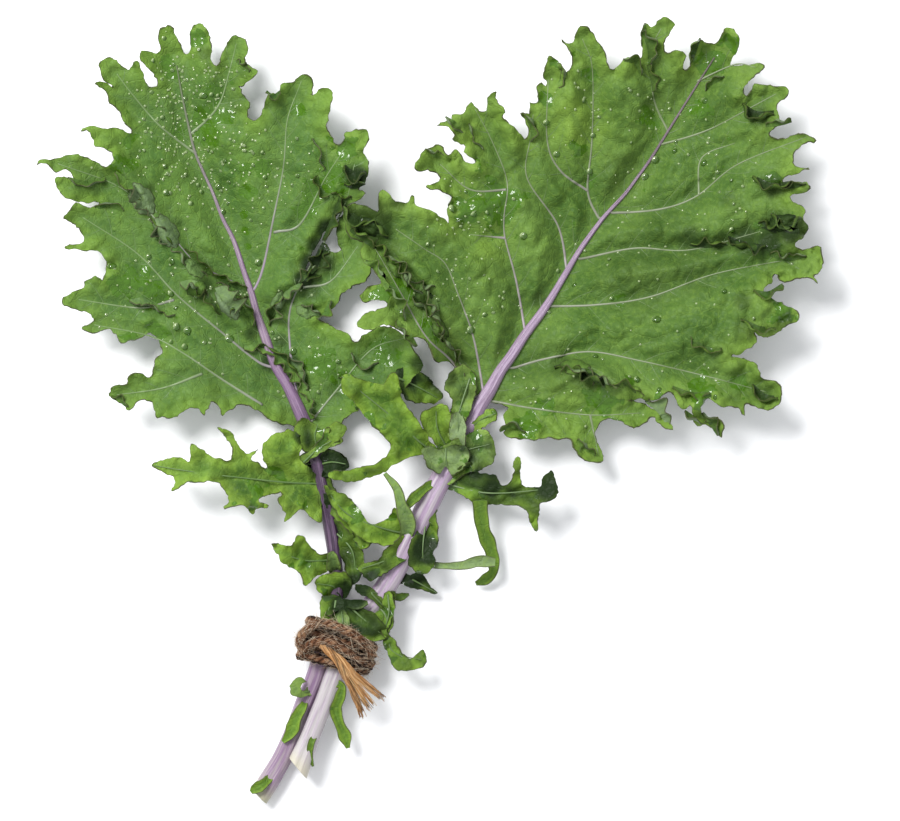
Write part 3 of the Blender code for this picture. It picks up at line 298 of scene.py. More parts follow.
RIGHT_LEAFLETS = {
    "up_left": (
        [(452, 452), (436, 446), (416, 418), (404, 402), (400, 390), (397, 373), (390, 374),
         (386, 382), (381, 385), (364, 381), (350, 374), (342, 378), (345, 393), (356, 404),
         (368, 420), (382, 434), (390, 444), (386, 457), (372, 464), (352, 469), (333, 470),
         (331, 477), (350, 481), (372, 476), (392, 467), (412, 456), (436, 456)],
        [(450, 460, 10.5), (425, 446, 17), (390, 415, 23), (342, 376, 24)], 0.015, 0.05),
    "low_left": (
        [(412, 524), (396, 508), (391, 515), (372, 524), (358, 506), (345, 495), (325, 486),
         (335, 510), (345, 520), (358, 536), (384, 545), (400, 540)],
        [(414, 532, 10.9), (394, 531, 15), (350, 515, 20), (325, 487, 21)], 0.03, 0.1),
    "right_fan": (
        [(446, 478), (456, 470), (470, 462), (478, 472), (495, 475), (500, 484), (511, 480),
         (515, 458), (521, 460), (521, 482), (538, 487), (543, 478), (551, 470), (556, 478),
         (556, 496), (541, 504), (538, 518), (536, 530), (530, 522), (526, 509), (505, 505),
         (490, 504), (478, 504), (462, 495), (450, 490)],
        [(446, 484, 10.2), (491, 493, 16), (556, 488, 19)], 0.02, 0.05),
    "right_side": (
        [(434, 500), (420, 525), (409, 548), (412, 568), (425, 574), (434, 566), (434, 550),
         (438, 540), (437, 518)],
        [(428, 508, 11), (423, 545, 16), (424, 570, 16)], 0.03, 0.1),
    "lower_left": (
        [(404, 535), (392, 544), (376, 560), (359, 565), (363, 575), (372, 580), (386, 572),
         (398, 564), (408, 556)],
        [(405, 550, 10.9), (386, 560, 17), (362, 568, 19)], 0.03, 0.0),
    "dark_under": (
        [(400, 562), (406, 572), (424, 575), (430, 586), (438, 594), (420, 590), (402, 584),
         (392, 578)],
        [(396, 570, 10), (415, 581, 9), (437, 593, 8)], 0.03, 0.0),
    "fold_over": (
        [(356, 583), (372, 588), (388, 604), (394, 616), (386, 613), (372, 600), (358, 592)],
        [(380, 594, 13), (372, 593, 17), (390, 612, 14)], 0.02, 0.0),
    "above_tie": (
        [(374, 598), (394, 592), (394, 612), (388, 628), (398, 646), (410, 658), (422, 649),
         (427, 658), (422, 667), (398, 669), (390, 660), (384, 644), (380, 628), (370, 612)],
        [(372, 602, 11), (386, 616, 15), (392, 650, 15.5), (424, 660, 16)], 0.02, 0.0),
    "oval": (
        [(454, 450), (449, 432), (450, 418), (457, 412), (465, 422), (466, 436), (462, 450)],
        [(455, 455, 12), (458, 434, 19), (458, 414, 21)], 0.04, 0.0),
    "dark_heart": (
        [(450, 462), (436, 446), (424, 430), (421, 414), (431, 408), (444, 404), (452, 416),
         (450, 430), (456, 450)],
        [(453, 458, 11), (438, 430, 16.5), (436, 406, 19)], 0.03, 0.0),
    "pointed": (
        [(470, 432), (473, 422), (486, 411), (496, 410), (497, 419), (487, 425), (478, 430)],
        [(468, 430, 10.5), (482, 419, 14.5), (496, 413, 16)], 0.04, 0.0),
    "saddle": (
        [(438, 452), (452, 440), (472, 432), (487, 430), (495, 446), (492, 462), (478, 470),
         (462, 476), (448, 484), (440, 470)],
        [(446, 470, 11), (463, 452, 15.5), (490, 444, 17)], 0.012, 0.0),
}
# Narrow leaflets: column, row, height in mm and half width in columns along the middle.
LEFT_STRIPS = {
    "below_tie_long": [(305, 702, 8, 3), (303, 706, 12, 4), (296, 718, 12, 6), (291, 732, 11, 6),
                       (283, 742, 10, 2)],
    "at_the_cut": [(272, 776, 7, 3), (263, 784, 10, 5), (255, 789, 10.5, 5), (251, 792, 10, 2)],
    "short_tongue": [(336, 572, 9.5, 5), (334, 566, 14, 7), (333, 558, 16.5, 6), (331, 552, 17, 3)],
    "pale_curl": [(333, 601, 9.6, 3), (346, 603, 15, 4), (357, 604, 17.5, 5), (368, 602, 18, 2)],
}
RIGHT_STRIPS = {
    "below_tie_right": [(334, 682, 11.5, 4), (342, 686, 15, 4), (340, 697, 15, 5),
                        (336, 709, 13, 6), (339, 722, 12, 5), (345, 736, 11, 6), (348, 748, 10, 2)],
    "below_tie_small": [(316, 735, 12, 3), (312, 741, 15, 3), (310, 754, 14, 3), (313, 766, 12, 1)],
    "wing": [(436, 482, 12, 3), (428, 486, 14.5, 4), (414, 498, 17, 5), (406, 508, 18, 3)],
    "light_strip": [(405, 540, 11.5, 5), (408, 524, 17, 8), (402, 506, 21, 6), (397, 488, 22, 4),
                    (385, 473, 22, 2)],
    "droop": [(480, 500, 15, 8), (481, 516, 13, 7), (484, 532, 11, 7), (490, 547, 9, 7),
              (493, 560, 7.5, 6), (493, 572, 6, 5), (485, 580, 5, 5), (476, 584, 4, 2)],
    "thin_arm": [(420, 560, 16, 4), (436, 565, 16, 3), (462, 565, 16, 4), (478, 561, 16, 6),
                 (495, 562, 15, 4)],
    "thorn": [(392, 596, 11, 2), (400, 597, 11, 4), (409, 594, 11, 1)],
}

# The strand over the knot: column, row, height in mm.
KNOT = [(301, 657, 9), (304, 650, 15), (313, 643, 20), (328, 640, 21.8), (346, 649, 22.2),
        (362, 661, 20.2), (372, 664, 15)]
TIE_CENTRE = (337.5, 646.5)
TIE_AXIS = (-20, 60)           # down along the stems, in columns and rows
ALONG_TIE = np.array((TIE_AXIS[0], -TIE_AXIS[1])) / np.hypot(*TIE_AXIS)
# The knot's own loop round its dark middle, as columns, rows and heights in mm.
KNOT_LOOP = [(304, 652, 17.5), (300, 640, 19.5), (308, 628, 20.8), (322, 622, 21.5), (338, 626, 21.8),
             (354, 634, 21.0), (368, 645, 19.0), (373, 656, 16.5)]
LOOP_RADIUS = 1.9 * MM
# Middle of the knot, painted dark as shade below KNOT_HOLE_TOP; the painted shade also grows from it to the
# lower right, away from the lamp.
KNOT_HOLE = (331, 642)
KNOT_HOLE_TOP = 19.5 * MM
# The frayed end: its middle line, the step across it that its locks fan out along, and their places
# on that step.
FRAY_MIDDLE = [(316, 638, 20.5), (326, 647, 22.2), (340, 660, 22.4), (352, 677, 20.6), (372, 704, 16.0)]
FRAY_SPAN = [(372, 704), (382, 694.5)]
FRAY_LOCKS = (-1.15, -0.95, -0.35, 0.1, 0.75, 1.05)
# Loose hairs: how far they stand out, their length and their radius.
WILD_HAIR = (0.8, 3.2 * MM, 0.058 * MM)
FLAT_HAIR = (0.10, 2.6 * MM, 0.085 * MM)

# Wet places: column, row, reach in columns, and strength where it is below 1.
LEFT_WET = [
    (178, 130, 7), (208, 130, 17), (222, 118, 12), (200, 112, 8), (246, 170, 8), (262, 168, 9),
    (248, 192, 9), (244, 215, 4), (246, 230, 4), (247, 245, 4), (345, 150, 14), (335, 175, 16),
    (318, 190, 12), (310, 210, 10), (170, 60, 8), (196, 40, 10), (130, 140, 8), (125, 165, 10),
    (138, 280, 14), (150, 295, 14), (118, 285, 10), (155, 335, 14), (135, 345, 12), (320, 365, 14),
    (345, 385, 14), (385, 350, 14), (172, 75, 6), (215, 95, 10), (300, 110, 6),
]
RIGHT_WET = [
    (500, 205, 20), (470, 210, 14), (560, 60, 16, 0.55), (545, 100, 12, 0.6), (590, 75, 8), (640, 40, 8),
    (715, 60, 14), (735, 45, 10), (650, 120, 12), (700, 110, 10), (760, 235, 20, 0.45),
    (785, 225, 14, 0.45), (480, 170, 10, 0.5), (530, 425, 14), (545, 408, 10), (600, 400, 16),
    (625, 385, 10, 0.5), (700, 390, 16), (740, 385, 10), (660, 400, 8), (780, 310, 12), (620, 300, 8),
    (575, 150, 8), (590, 180, 6), (400, 290, 14), (380, 300, 10), (430, 330, 10), (770, 180, 8),
]
# Curled flaps and folds: the line that each leaves, width in columns, roll in radians, and tone,
# which above nought is painted shade and below nought shows the pale underside.
LEFT_CURLS = [
    ([(118, 172), (128, 180), (138, 190)], -9, 1.5, 0.2),
    ([(139, 184), (149, 197), (158, 213)], -17, 1.4, -0.8),
    ([(128, 192), (138, 205), (148, 214)], 8, 2.2, 0.5),
    ([(160, 212), (171, 227), (182, 246)], -18, 1.4, -0.8),
    ([(150, 220), (162, 236), (172, 246)], 8, 2.2, 0.6),
    ([(176, 240), (188, 256), (200, 268)], -11, 2.2, -0.2),
    ([(184, 250), (198, 266), (212, 276)], 8, 1.7, 0.5),
    ([(198, 262), (212, 275), (230, 283)], -9, 2.0, 0.1),
    ([(212, 276), (230, 286), (246, 290)], 8, 1.8, 0.5),
    ([(180, 282), (192, 280), (204, 284)], -12, 2.2, -0.4),
    ([(190, 292), (200, 300), (212, 302)], 12, 2.2, 0.8),
    ([(215, 288), (220, 302), (231, 320)], 20, 1.1, -0.7),
    ([(206, 286), (214, 300), (222, 314)], -9, 2.0, 0.6),
    ([(232, 318), (242, 308), (248, 296)], 9, 2.0, 0.5),
    ([(236, 296), (246, 312), (252, 326)], 8, 1.9, 0.2),
    ([(268, 322), (272, 306), (280, 294)], -13, 2.2, -0.3),
    ([(270, 326), (276, 312), (286, 300)], 9, 2.0, 0.7),
    ([(280, 296), (290, 288), (302, 282)], -9, 1.9, -0.3),
    ([(300, 284), (310, 276), (318, 268)], 9, 2.0, -0.3),
    ([(300, 306), (308, 314), (320, 316)], 10, 2.0, -0.4),
    ([(316, 318), (324, 310), (330, 300)], -8, 2.0, 0.1),
    ([(243, 347), (258, 343), (275, 347), (290, 360), (303, 378), (312, 400)], -11, 1.2, -0.1),
    ([(248, 352), (262, 350), (276, 356), (290, 370), (300, 388)], 8, 2.2, 0.6),
    ([(288, 358), (294, 372), (302, 392)], 13, 1.9, -0.5),
    ([(310, 398), (306, 408), (310, 420)], 10, 2.1, 0.2),
    ([(346, 166), (354, 172), (366, 172)], -14, 2.2, 0.9),
    ([(344, 186), (354, 190), (366, 186)], 10, 2.2, 0.8),
    ([(312, 140), (315, 156), (322, 172)], 8, 2.0, 0.1),
    ([(318, 176), (322, 188), (330, 196)], -8, 2.0, 0.5),
    ([(330, 196), (340, 202), (352, 200)], 9, 2.2, 0.5),
    ([(324, 250), (318, 264), (310, 280)], -9, 2.0, 0.95),
    ([(322, 242), (313, 260), (303, 280)], 13, 0.9, 1.0),
    ([(340, 196), (332, 216), (322, 240)], 8, 1.8, 0.7),
    ([(150, 302), (162, 306), (176, 314)], -8, 2.0, -0.1),
    ([(130, 300), (144, 298), (158, 306)], -9, 1.8, -0.3),
    ([(268, 92), (274, 96), (280, 92)], -7, 2.0, 0.5), ([(236, 62), (242, 70), (250, 74)], 8, 2.0, 0.4),
    ([(70, 178), (88, 182), (106, 178)], -7, 2.0, 0.3), ([(96, 210), (110, 208), (124, 212)], 7, 2.0, 0.3),
    ([(112, 398), (120, 402), (128, 408)], 7, 2.0, 0.5),
    ([(338, 378), (350, 392), (356, 410)], 10, 2.0, 0.5),
    ([(352, 352), (366, 362), (378, 360)], -9, 2.0, -0.2),
]
RIGHT_CURLS = [
    ([(346, 206), (356, 216), (370, 222)], -14, 2.3, 0.8),
    ([(360, 226), (374, 234), (388, 240)], 14, 2.4, 0.8),
    ([(350, 232), (360, 240), (374, 250)], 10, 2.2, 0.6),
    ([(378, 240), (392, 250), (402, 266)], -13, 2.3, 0.5),
    ([(386, 258), (398, 272), (406, 288)], 12, 2.3, -0.2),
    ([(402, 262), (414, 276), (424, 294)], -12, 2.3, 0.3),
    ([(410, 284), (422, 292), (436, 290)], 11, 2.3, -0.3),
    ([(414, 296), (426, 304), (440, 310)], -11, 2.3, 0.4),
    ([(430, 290), (438, 304), (440, 322)], -12, 2.2, -0.3),
    ([(424, 306), (432, 322), (440, 338)], 11, 2.2, 0.3),
    ([(440, 320), (450, 336), (458, 352)], -10, 2.2, 0.1),
    ([(436, 336), (448, 352), (460, 366)], 10, 2.2, 0.3),
    ([(456, 350), (464, 364), (470, 380)], -9, 2.1, -0.2),
    ([(386, 290), (396, 304), (404, 322)], 10, 2.2, 0.4),
    ([(398, 320), (410, 332), (418, 346)], -10, 2.2, 0.3),
    ([(366, 262), (378, 276), (386, 292)], 10, 2.2, 0.2),
    ([(554, 366), (572, 362), (590, 370), (606, 382)], -17, 2.4, 0.9),
    ([(560, 374), (576, 376), (592, 386)], 12, 2.2, 0.3),
    ([(588, 366), (604, 374), (618, 386)], -10, 2.2, -0.3),
    ([(612, 386), (628, 390), (642, 398)], 10, 2.2, 0.5),
    ([(644, 402), (656, 412), (666, 426)], 12, 1.6, -0.8),
    ([(684, 410), (694, 416), (706, 418)], -9, 2.2, 0.4),
    ([(700, 414), (708, 424), (716, 436)], 9, 2.2, 0.4),
    ([(742, 104), (756, 112), (772, 112)], -14, 2.4, 0.8),
    ([(764, 128), (776, 128), (790, 124)], 9, 2.2, 0.3),
    ([(752, 176), (770, 184), (790, 182)], -12, 2.4, 0.8),
    ([(776, 190), (790, 190), (804, 186)], 8, 2.2, 0.7),
    ([(770, 214), (784, 220), (798, 216)], -15, 2.4, 0.9),
    ([(756, 226), (774, 234), (796, 234)], 14, 2.4, 0.9),
    ([(728, 236), (744, 242), (764, 246)], -13, 2.4, 0.9),
    ([(690, 246), (706, 248), (726, 246)], 9, 2.2, 0.7),
    ([(768, 256), (784, 262), (804, 258)], 9, 2.2, 0.4),
    ([(752, 290), (766, 292), (780, 284)], -9, 2.2, 0.5),
    ([(740, 318), (756, 326), (774, 328)], -9, 2.2, 0.5),
    ([(752, 384), (764, 394), (776, 396)], -11, 2.2, 0.7),
    ([(640, 34), (646, 48), (648, 66)], 12, 2.0, 0.4), ([(646, 66), (650, 80), (652, 92)], 9, 2.0, 0.5),
    ([(700, 40), (696, 52), (692, 64)], -9, 2.2, 0.6), ([(556, 66), (560, 76), (556, 88)], 8, 2.0, 0.3),
    ([(622, 62), (634, 66), (640, 76)], 8, 2.0, 0.3), ([(523, 116), (530, 128), (530, 142)], 8, 2.2, 0.3),
    ([(446, 118), (456, 124), (464, 134)], -8, 2.2, 0.2),
    ([(424, 152), (434, 158), (444, 158)], 8, 2.2, 0.2),
    ([(470, 124), (478, 136), (484, 150)], -8, 2.2, 0.1),
    ([(500, 432), (512, 428), (524, 434)], 8, 2.2, 0.2),
    ([(576, 440), (584, 450), (594, 456)], 8, 2.2, 0.2), ([(706, 92), (714, 84), (724, 78)], 7, 2.0, 0.2),
    ([(690, 336), (704, 346), (720, 348)], -8, 2.0, 0.5),
    ([(672, 386), (690, 392), (708, 392)], -8, 2.2, 0.5),
]
# Puffed ovals of skin over the folds: column, row, half length and half width in columns, turn in
# degrees, rise in mm, and tone as for the curls: painted shade above nought, pale underside below.
LEFT_PADS = [
    (143, 200, 17, 11, -57, 2.4, -0.75), (167, 232, 18, 10, -60, 2.6, -0.7),
    (228, 303, 18, 9, -58, 2.2, -0.9), (195, 268, 12, 7, -45, 1.6, -0.3), (197, 289, 10, 7, 20, 2.0, 0.3),
    (278, 302, 12, 6, 60, 1.8, -0.5), (304, 312, 9, 5, -30, 1.6, -0.4),
]
RIGHT_PADS = [
    (576, 368, 15, 8, -12, 2.4, 0.2), (398, 268, 13, 8, -50, 2.2, 0.3), (424, 298, 12, 8, -60, 2.4, 0.6),
    (440, 330, 12, 7, -65, 2.2, 0.45), (780, 224, 15, 8, 10, 2.4, 0.75), (368, 228, 13, 8, -20, 2.4, 0.7),
]
# Where the drops lie thick: column, row, reach in columns, share of the drops.
LEFT_DROPS = [
    (190, 80, 45, 0.30), (200, 150, 50, 0.28), (265, 170, 45, 0.14), (150, 170, 40, 0.08),
    (140, 290, 50, 0.06), (220, 300, 50, 0.08), (330, 370, 45, 0.06),
]
RIGHT_DROPS = [
    (455, 215, 35, 0.26), (480, 300, 40, 0.14), (600, 110, 50, 0.12), (640, 250, 70, 0.10),
    (700, 130, 50, 0.10), (560, 400, 60, 0.10), (700, 350, 60, 0.08), (740, 220, 50, 0.10),
]
LEFT_LARGE = [
    (166, 193), (190, 204), (218, 186), (222, 211), (171, 294), (188, 331), (177, 327), (185, 347),
    (113, 267), (149, 257), (173, 261), (229, 339), (305, 419), (293, 351), (258, 262), (204, 96),
]
RIGHT_LARGE = [
    (583, 101), (557, 154), (593, 135), (546, 123), (704, 163), (705, 101), (675, 151), (646, 176),
    (656, 159), (590, 171), (723, 292), (715, 305), (731, 230), (575, 285), (656, 320), (595, 357),
    (658, 390), (714, 397), (636, 380), (524, 236), (452, 210), (470, 330),
]
# How much painted shade darkens a leaflet, and how far it shows its pale underside.
TONES = {
    "saddle": (0.25, 0.3), "oval": (0, 1.0), "dark_heart": (0.4, 0.0), "dark_under": (0.75, 0),
    "fork": (0.15, 0.2), "dark_round": (0.85, 0), "light_strip": (0, 0.5), "thin_arm": (0.1, 0.8),
    "left_drape": (0.6, 0), "pale_curl": (0.35, 0.4), "thorn": (0.6, 0), "below_tie_small": (0.4, 0),
    "collar": (0.35, 0.1), "shadow_leaf": (0.9, 0), "drape": (0.35, 0.7), "dark_lobe": (0.7, 0),
    "base_flap": (0.25, 0.3), "tie_left": (0.5, 0), "tie_bud": (0.2, 0.6), "tie_mid": (0.55, 0),
    "tie_edge": (0.2, 0), "droop": (0.35, 0), "left_low": (0.35, 0), "right_upper": (0.48, 0),
    "right_side": (0.5, 0), "right_fan": (0.48, 0), "lower_left": (0.4, 0), "fold_over": (0.4, 0.1),
    "above_tie": (0.38, 0), "big_left": (0.12, 0.05), "below_tie_round": (0, 0.35), "pointed": (0.2, 0.1),
    "short_tongue": (0.1, 0.3), "wing": (0.3, 0),
}
# Places of painted shade on the leaflets, and pale places that are painted light together with paler skin
# and lessen the shade: column, row, reach in columns, strength.
LEAFLET_SHADE = [
    (353, 596, 13, 0.8), (340, 604, 9, 0.7), (545, 481, 15, 0.5), (432, 552, 12, 0.65),
    (492, 462, 13, 0.55), (476, 468, 10, 0.5), (492, 448, 8, 0.4), (414, 581, 10, 0.65),
    (317, 471, 11, 0.8), (329, 463, 9, 0.5), (349, 480, 9, 0.5), (409, 371, 9, 0.5), (448, 378, 10, 0.5),
    (434, 369, 10, 0.5), (324, 529, 12, 0.75), (369, 578, 11, 0.6), (355, 582, 9, 0.5), (326, 498, 10, 0.5),
    (344, 495, 10, 0.5), (351, 632, 9, 0.5), (351, 556, 11, 0.4), (345, 588, 9, 0.7), (300, 441, 11, 0.25),
    (425, 546, 11, 0.45), (500, 494, 14, 0.3), (340, 480, 8, 0.35), (404, 574, 9, 0.5), (330, 560, 8, 0.35),
]
LEAFLET_PALE = [(393, 513, 14, 0.6), (436, 417, 11, 0.5), (285, 470, 16, 0.5), (440, 432, 9, 0.4)]
# Smaller leaflets that lie over and under the others, laid out in the same way.
LEFT_SMALL = {
    "fork": (
        [(292, 466), (300, 456), (310, 450), (322, 437), (327, 427), (331, 430), (329, 438), (338, 436),
         (342, 441), (332, 447), (318, 455), (306, 464), (298, 472)],
        [(302, 464, 12), (318, 449, 13.8), (333, 440, 15)], 0.03, 0.0),
    "collar": (
        [(294, 428), (303, 418), (312, 424), (322, 430), (336, 423), (347, 428), (341, 438), (330, 446),
         (318, 452), (306, 452), (297, 442)],
        [(318, 450, 11), (315, 436, 12.8), (318, 424, 13)], 0.03, 0.0),
    "shadow_leaf": (
        [(294, 468), (300, 456), (312, 450), (332, 449), (345, 457), (348, 468), (338, 476), (324, 472),
         (312, 478), (302, 476)],
        [(297, 466, 4.5), (320, 463, 3.6), (345, 464, 4.5)], 0.03, 0.0),
    "tie_left": (
        [(321, 600), (334, 594), (345, 602), (348, 618), (342, 630), (330, 630), (322, 620)],
        [(336, 600, 14.5), (334, 614, 15.5), (334, 628, 16)], 0.03, 0.0),
}
RIGHT_SMALL = {
    "drape": (
        [(422, 450), (430, 445), (440, 450), (452, 445), (466, 448), (471, 456), (462, 469), (452, 475),
         (446, 466), (440, 474), (432, 470), (425, 462)],
        [(446, 448, 15.6), (446, 458, 17.4), (447, 468, 16.6)], 0.03, 0.0),
    "dark_lobe": (
        [(395, 372), (404, 367), (420, 371), (432, 382), (442, 396), (430, 404), (412, 401), (401, 392)],
        [(398, 378, 17), (416, 386, 15.5), (438, 398, 13)], 0.03, 0.0),
    "base_flap": (
        [(450, 374), (463, 364), (474, 374), (476, 392), (470, 412), (460, 430), (450, 438), (446, 420),
         (452, 402), (445, 388)],
        [(470, 378, 11), (462, 402, 13), (454, 430, 15)], 0.03, 0.0),
    "tie_bud": (
        [(337, 617), (342, 609), (348, 614), (350, 624), (345, 633), (339, 627)],
        [(342, 631, 20.6), (343, 620, 21), (342, 611, 19)], 0.03, 0.0),
    "tie_mid": (
        [(346, 600), (360, 606), (374, 612), (385, 626), (387, 638), (374, 640), (360, 634), (350, 628),
         (343, 614)],
        [(350, 606, 16), (362, 617, 17.4), (380, 632, 18)], 0.03, 0.0),
    "tie_edge": (
        [(389, 590), (395, 604), (393, 622), (387, 638), (380, 630), (384, 612), (383, 598)],
        [(388, 594, 15.5), (389, 612, 16.5), (384, 632, 17)], 0.03, 0.0),
}
# Places of painted shade on the blades, and pale places that are painted light together with yellower skin,
# laid out as for the leaflets.
LEFT_SHADE = [
    (358, 178, 12, 0.9), (372, 190, 8, 0.7), (322, 262, 14, 0.75), (330, 240, 9, 0.7), (312, 284, 10, 0.6),
    (202, 290, 13, 0.7), (222, 296, 9, 0.5), (160, 232, 8, 0.5), (190, 262, 8, 0.6), (280, 340, 8, 0.6),
    (292, 362, 8, 0.7), (305, 385, 7, 0.6), (140, 205, 8, 0.45), (285, 300, 7, 0.5), (250, 335, 7, 0.5),
    (237, 102, 16, 0.35), (215, 382, 30, 0.22), (335, 390, 10, 0.4), (290, 415, 14, 0.3),
    (342, 211, 10, 0.9), (328, 230, 12, 1.0), (320, 248, 13, 1.0), (312, 264, 13, 1.0), (304, 280, 11, 1.0),
    (311, 292, 9, 0.6), (269, 363, 10, 0.8), (421, 363, 11, 0.8), (206, 55, 9, 0.45), (326, 262, 9, 0.8),
    (150, 190, 6, 0.5), (176, 222, 6, 0.5), (205, 270, 7, 0.6), (240, 290, 8, 0.5), (258, 330, 8, 0.5),
]
RIGHT_SHADE = [
    (372, 224, 24, 0.7), (391, 246, 12, 0.4), (402, 268, 12, 0.4), (352, 215, 10, 0.7), (420, 300, 12, 0.3),
    (438, 330, 12, 0.3), (455, 355, 10, 0.55), (775, 232, 20, 0.65), (745, 240, 16, 0.7),
    (720, 244, 12, 0.6), (760, 118, 12, 0.4), (772, 186, 12, 0.6), (582, 376, 16, 0.5), (560, 366, 14, 0.5),
    (608, 384, 12, 0.35), (742, 328, 11, 0.4), (694, 193, 11, 0.35), (729, 201, 10, 0.35),
    (737, 403, 9, 0.35), (762, 392, 12, 0.4), (802, 230, 12, 0.75), (768, 242, 14, 0.8),
    (788, 234, 13, 0.85), (422, 364, 11, 0.7), (448, 378, 11, 0.6), (398, 203, 10, 0.6),
    (364, 201, 10, 0.65), (784, 325, 10, 0.6), (741, 302, 10, 0.5), (690, 240, 14, 0.6),
    (655, 290, 16, 0.42), (540, 300, 10, 0.5), (455, 205, 10, 0.3), (552, 300, 12, 0.3),
    (640, 274, 44, 0.36), (690, 268, 30, 0.36), (540, 365, 34, 0.3), (620, 175, 26, 0.3),
    (660, 232, 34, 0.3), (520, 300, 12, 0.35), (495, 395, 14, 0.4), (700, 350, 30, 0.2),
    (655, 105, 16, 0.3),
]
LEFT_PALE = [
    (345, 148, 18, 0.8), (357, 140, 10, 0.6), (312, 196, 14, 0.4), (84, 320, 22, 0.3), (140, 395, 20, 0.4),
    (100, 245, 14, 0.3),
]
RIGHT_PALE = [
    (575, 125, 30, 1.0), (702, 76, 16, 0.5), (588, 60, 16, 0.6), (490, 240, 24, 0.75), (470, 200, 14, 0.5),
    (562, 420, 34, 0.6), (462, 172, 22, 0.8), (548, 95, 12, 1.0), (536, 110, 10, 1.0), (590, 450, 14, 0.8),
    (700, 405, 20, 0.3), (660, 40, 12, 0.3), (800, 262, 14, 0.3), (755, 365, 16, 0.3), (470, 132, 13, 0.9),
    (431, 153, 11, 0.6), (638, 64, 11, 0.6), (581, 90, 11, 0.5), (524, 142, 13, 0.6), (415, 296, 10, 0.5),
    (452, 342, 10, 0.5),
]
# Rows of the picture from the cut end up: row, how deep the petiole's purple is, how green its tip is.
LEFT_TONES = [
    (810, 0.25, 0), (715, 0.28, 0), (668, 0.42, 0), (640, 0.7, 0), (560, 1.0, 0), (450, 0.95, 0),
    (430, 0.6, 0), (330, 0.36, 0), (250, 0.3, 0), (190, 0.25, 0.15), (130, 0.2, 0.7), (60, 0.2, 1.0),
]
RIGHT_TONES = [
    (810, 0.05, 0), (690, 0.1, 0), (640, 0.3, 0), (470, 0.42, 0), (430, 0.55, 0), (300, 0.6, 0),
    (220, 0.66, 0), (180, 0.8, 0.1), (120, 0.9, 0.3), (60, 0.9, 0.6),
]
# How purple each main vein is at its foot, in the order of the veins.
LEFT_TINTS = [1.0, 0.5, 0.3, 0.3, 1.0, 0.7, 0.5, 0.5, 0.3, 1.0, 0.5, 0.5]
RIGHT_TINTS = [1.0, 1.0, 1.0, 0.8, 0.5, 0.8, 0.5, 0.6, 0.1, 0.5, 0.4, 0.4, 0.4, 0.0, 0.1, 0.1, 0.4, 0.2]


def plan(points):
    """Columns and rows as metres seen from above, with +Y up the picture."""
    points = np.asarray(points, float)
    return np.column_stack(((points[:, 0] - CENTRE_COLUMN) * PIXEL, (CENTRE_ROW - points[:, 1]) * PIXEL))


def run_along(line):
    """Distance walked along a line, at each of its points."""
    return np.concatenate(([0], np.cumsum(np.linalg.norm(np.diff(line, axis=0), axis=1))))


def smooth(points, count):
    """A Catmull-Rom curve through rows of numbers, read at evenly spread stations."""
    points = np.asarray(points, float)
    ends = np.vstack((2 * points[0] - points[1], points, 2 * points[-1] - points[-2]))
    station = np.linspace(0, len(points) - 1, 12 * len(points))
    at = np.minimum(station.astype(int), len(points) - 2)
    t = (station - at)[:, None]
    a, b, c, d = (ends[at + k] for k in range(4))
    curve = 0.5 * (2 * b + (c - a) * t + (2 * a - 5 * b + 4 * c - d) * t ** 2
                   + (3 * b - a - 3 * c + d) * t ** 3)
    along = run_along(curve[:, :min(3, curve.shape[1])])
    wanted = np.linspace(0, along[-1], count)
    return np.column_stack([np.interp(wanted, along, column) for column in curve.T])


def in_space(points, count):
    """A smooth run through columns, rows and mm as metres, with further numbers kept."""
    points = np.asarray(points, float)
    return smooth(np.column_stack((plan(points[:, :2]), points[:, 2] * MM, points[:, 3:])), count)


def rounded_ring(outline, spacing, seed=1):
    """A closed outline, evenly spaced: Catmull-Rom through the points, nibbled by two small waves."""
    ring = plan(outline)
    wrapped = np.vstack((ring[-2:], ring, ring[:3]))
    curve = smooth(wrapped, 24 * len(wrapped))
    half = len(curve) // 2
    from_start = np.linalg.norm(curve - ring[0], axis=1)
    curve = curve[from_start[:half].argmin():half + from_start[half:].argmin() + 1]
    along = run_along(curve)
    wanted = np.linspace(0, along[-1], int(along[-1] / spacing), endpoint=False)
    ring = np.column_stack([np.interp(wanted, along, column) for column in curve.T])
    nibble = 0.18 * MM * waves(ring, 3.4 * MM, seed) + 0.34 * MM * waves(ring, 8 * MM, seed + 5)
    return ring + outward(ring) * nibble[:, None]


def outward(ring):
    """Unit normals of a closed plan ring, pointing out of it."""
    along = np.roll(ring, -1, axis=0) - np.roll(ring, 1, axis=0)
    turned = np.column_stack((along[:, 1], -along[:, 0]))
    turned /= np.maximum(np.linalg.norm(turned, axis=1), 1e-12)[:, None]
    x, y = ring.T
    area = (x * np.roll(y, -1) - np.roll(x, -1) * y).sum()
    return turned if area > 0 else -turned


def to_path(points, path):
    """For each plan point: distance to a path, which side it is on, and the path's height nearby."""
    a, b = path[:-1, :2], path[1:, :2]
    along = b - a
    length = np.maximum((along ** 2).sum(1), 1e-18)
    found = [[], [], []]
    for block in np.array_split(points, max(1, len(points) // BLOCK)):
        reach = block[:, None] - a[None]
        share = np.clip((reach * along).sum(2) / length, 0, 1)
        far = np.linalg.norm(reach - share[..., None] * along, axis=2)
        near = far.argmin(1)
        rows = np.arange(len(block))
        found[0].append(far[rows, near])
        found[1].append(np.sign(along[near, 0] * reach[rows, near, 1]
                                - along[near, 1] * reach[rows, near, 0]))
        if path.shape[1] > 2:
            heights = path[:-1, 2] + share * (path[1:, 2] - path[:-1, 2])
            weight = 1 / (far ** 2 + (0.5 * MM) ** 2) ** 2
            found[2].append((weight * heights).sum(1) / weight.sum(1))
    return [np.concatenate(f) if f else None for f in found]


def in_blocks(work, points):
    """A function of many points, worked out a few thousand at a time to keep its arrays small."""
    blocks = np.array_split(points, max(1, len(points) // BLOCK))
    return np.concatenate([work(block) for block in blocks])


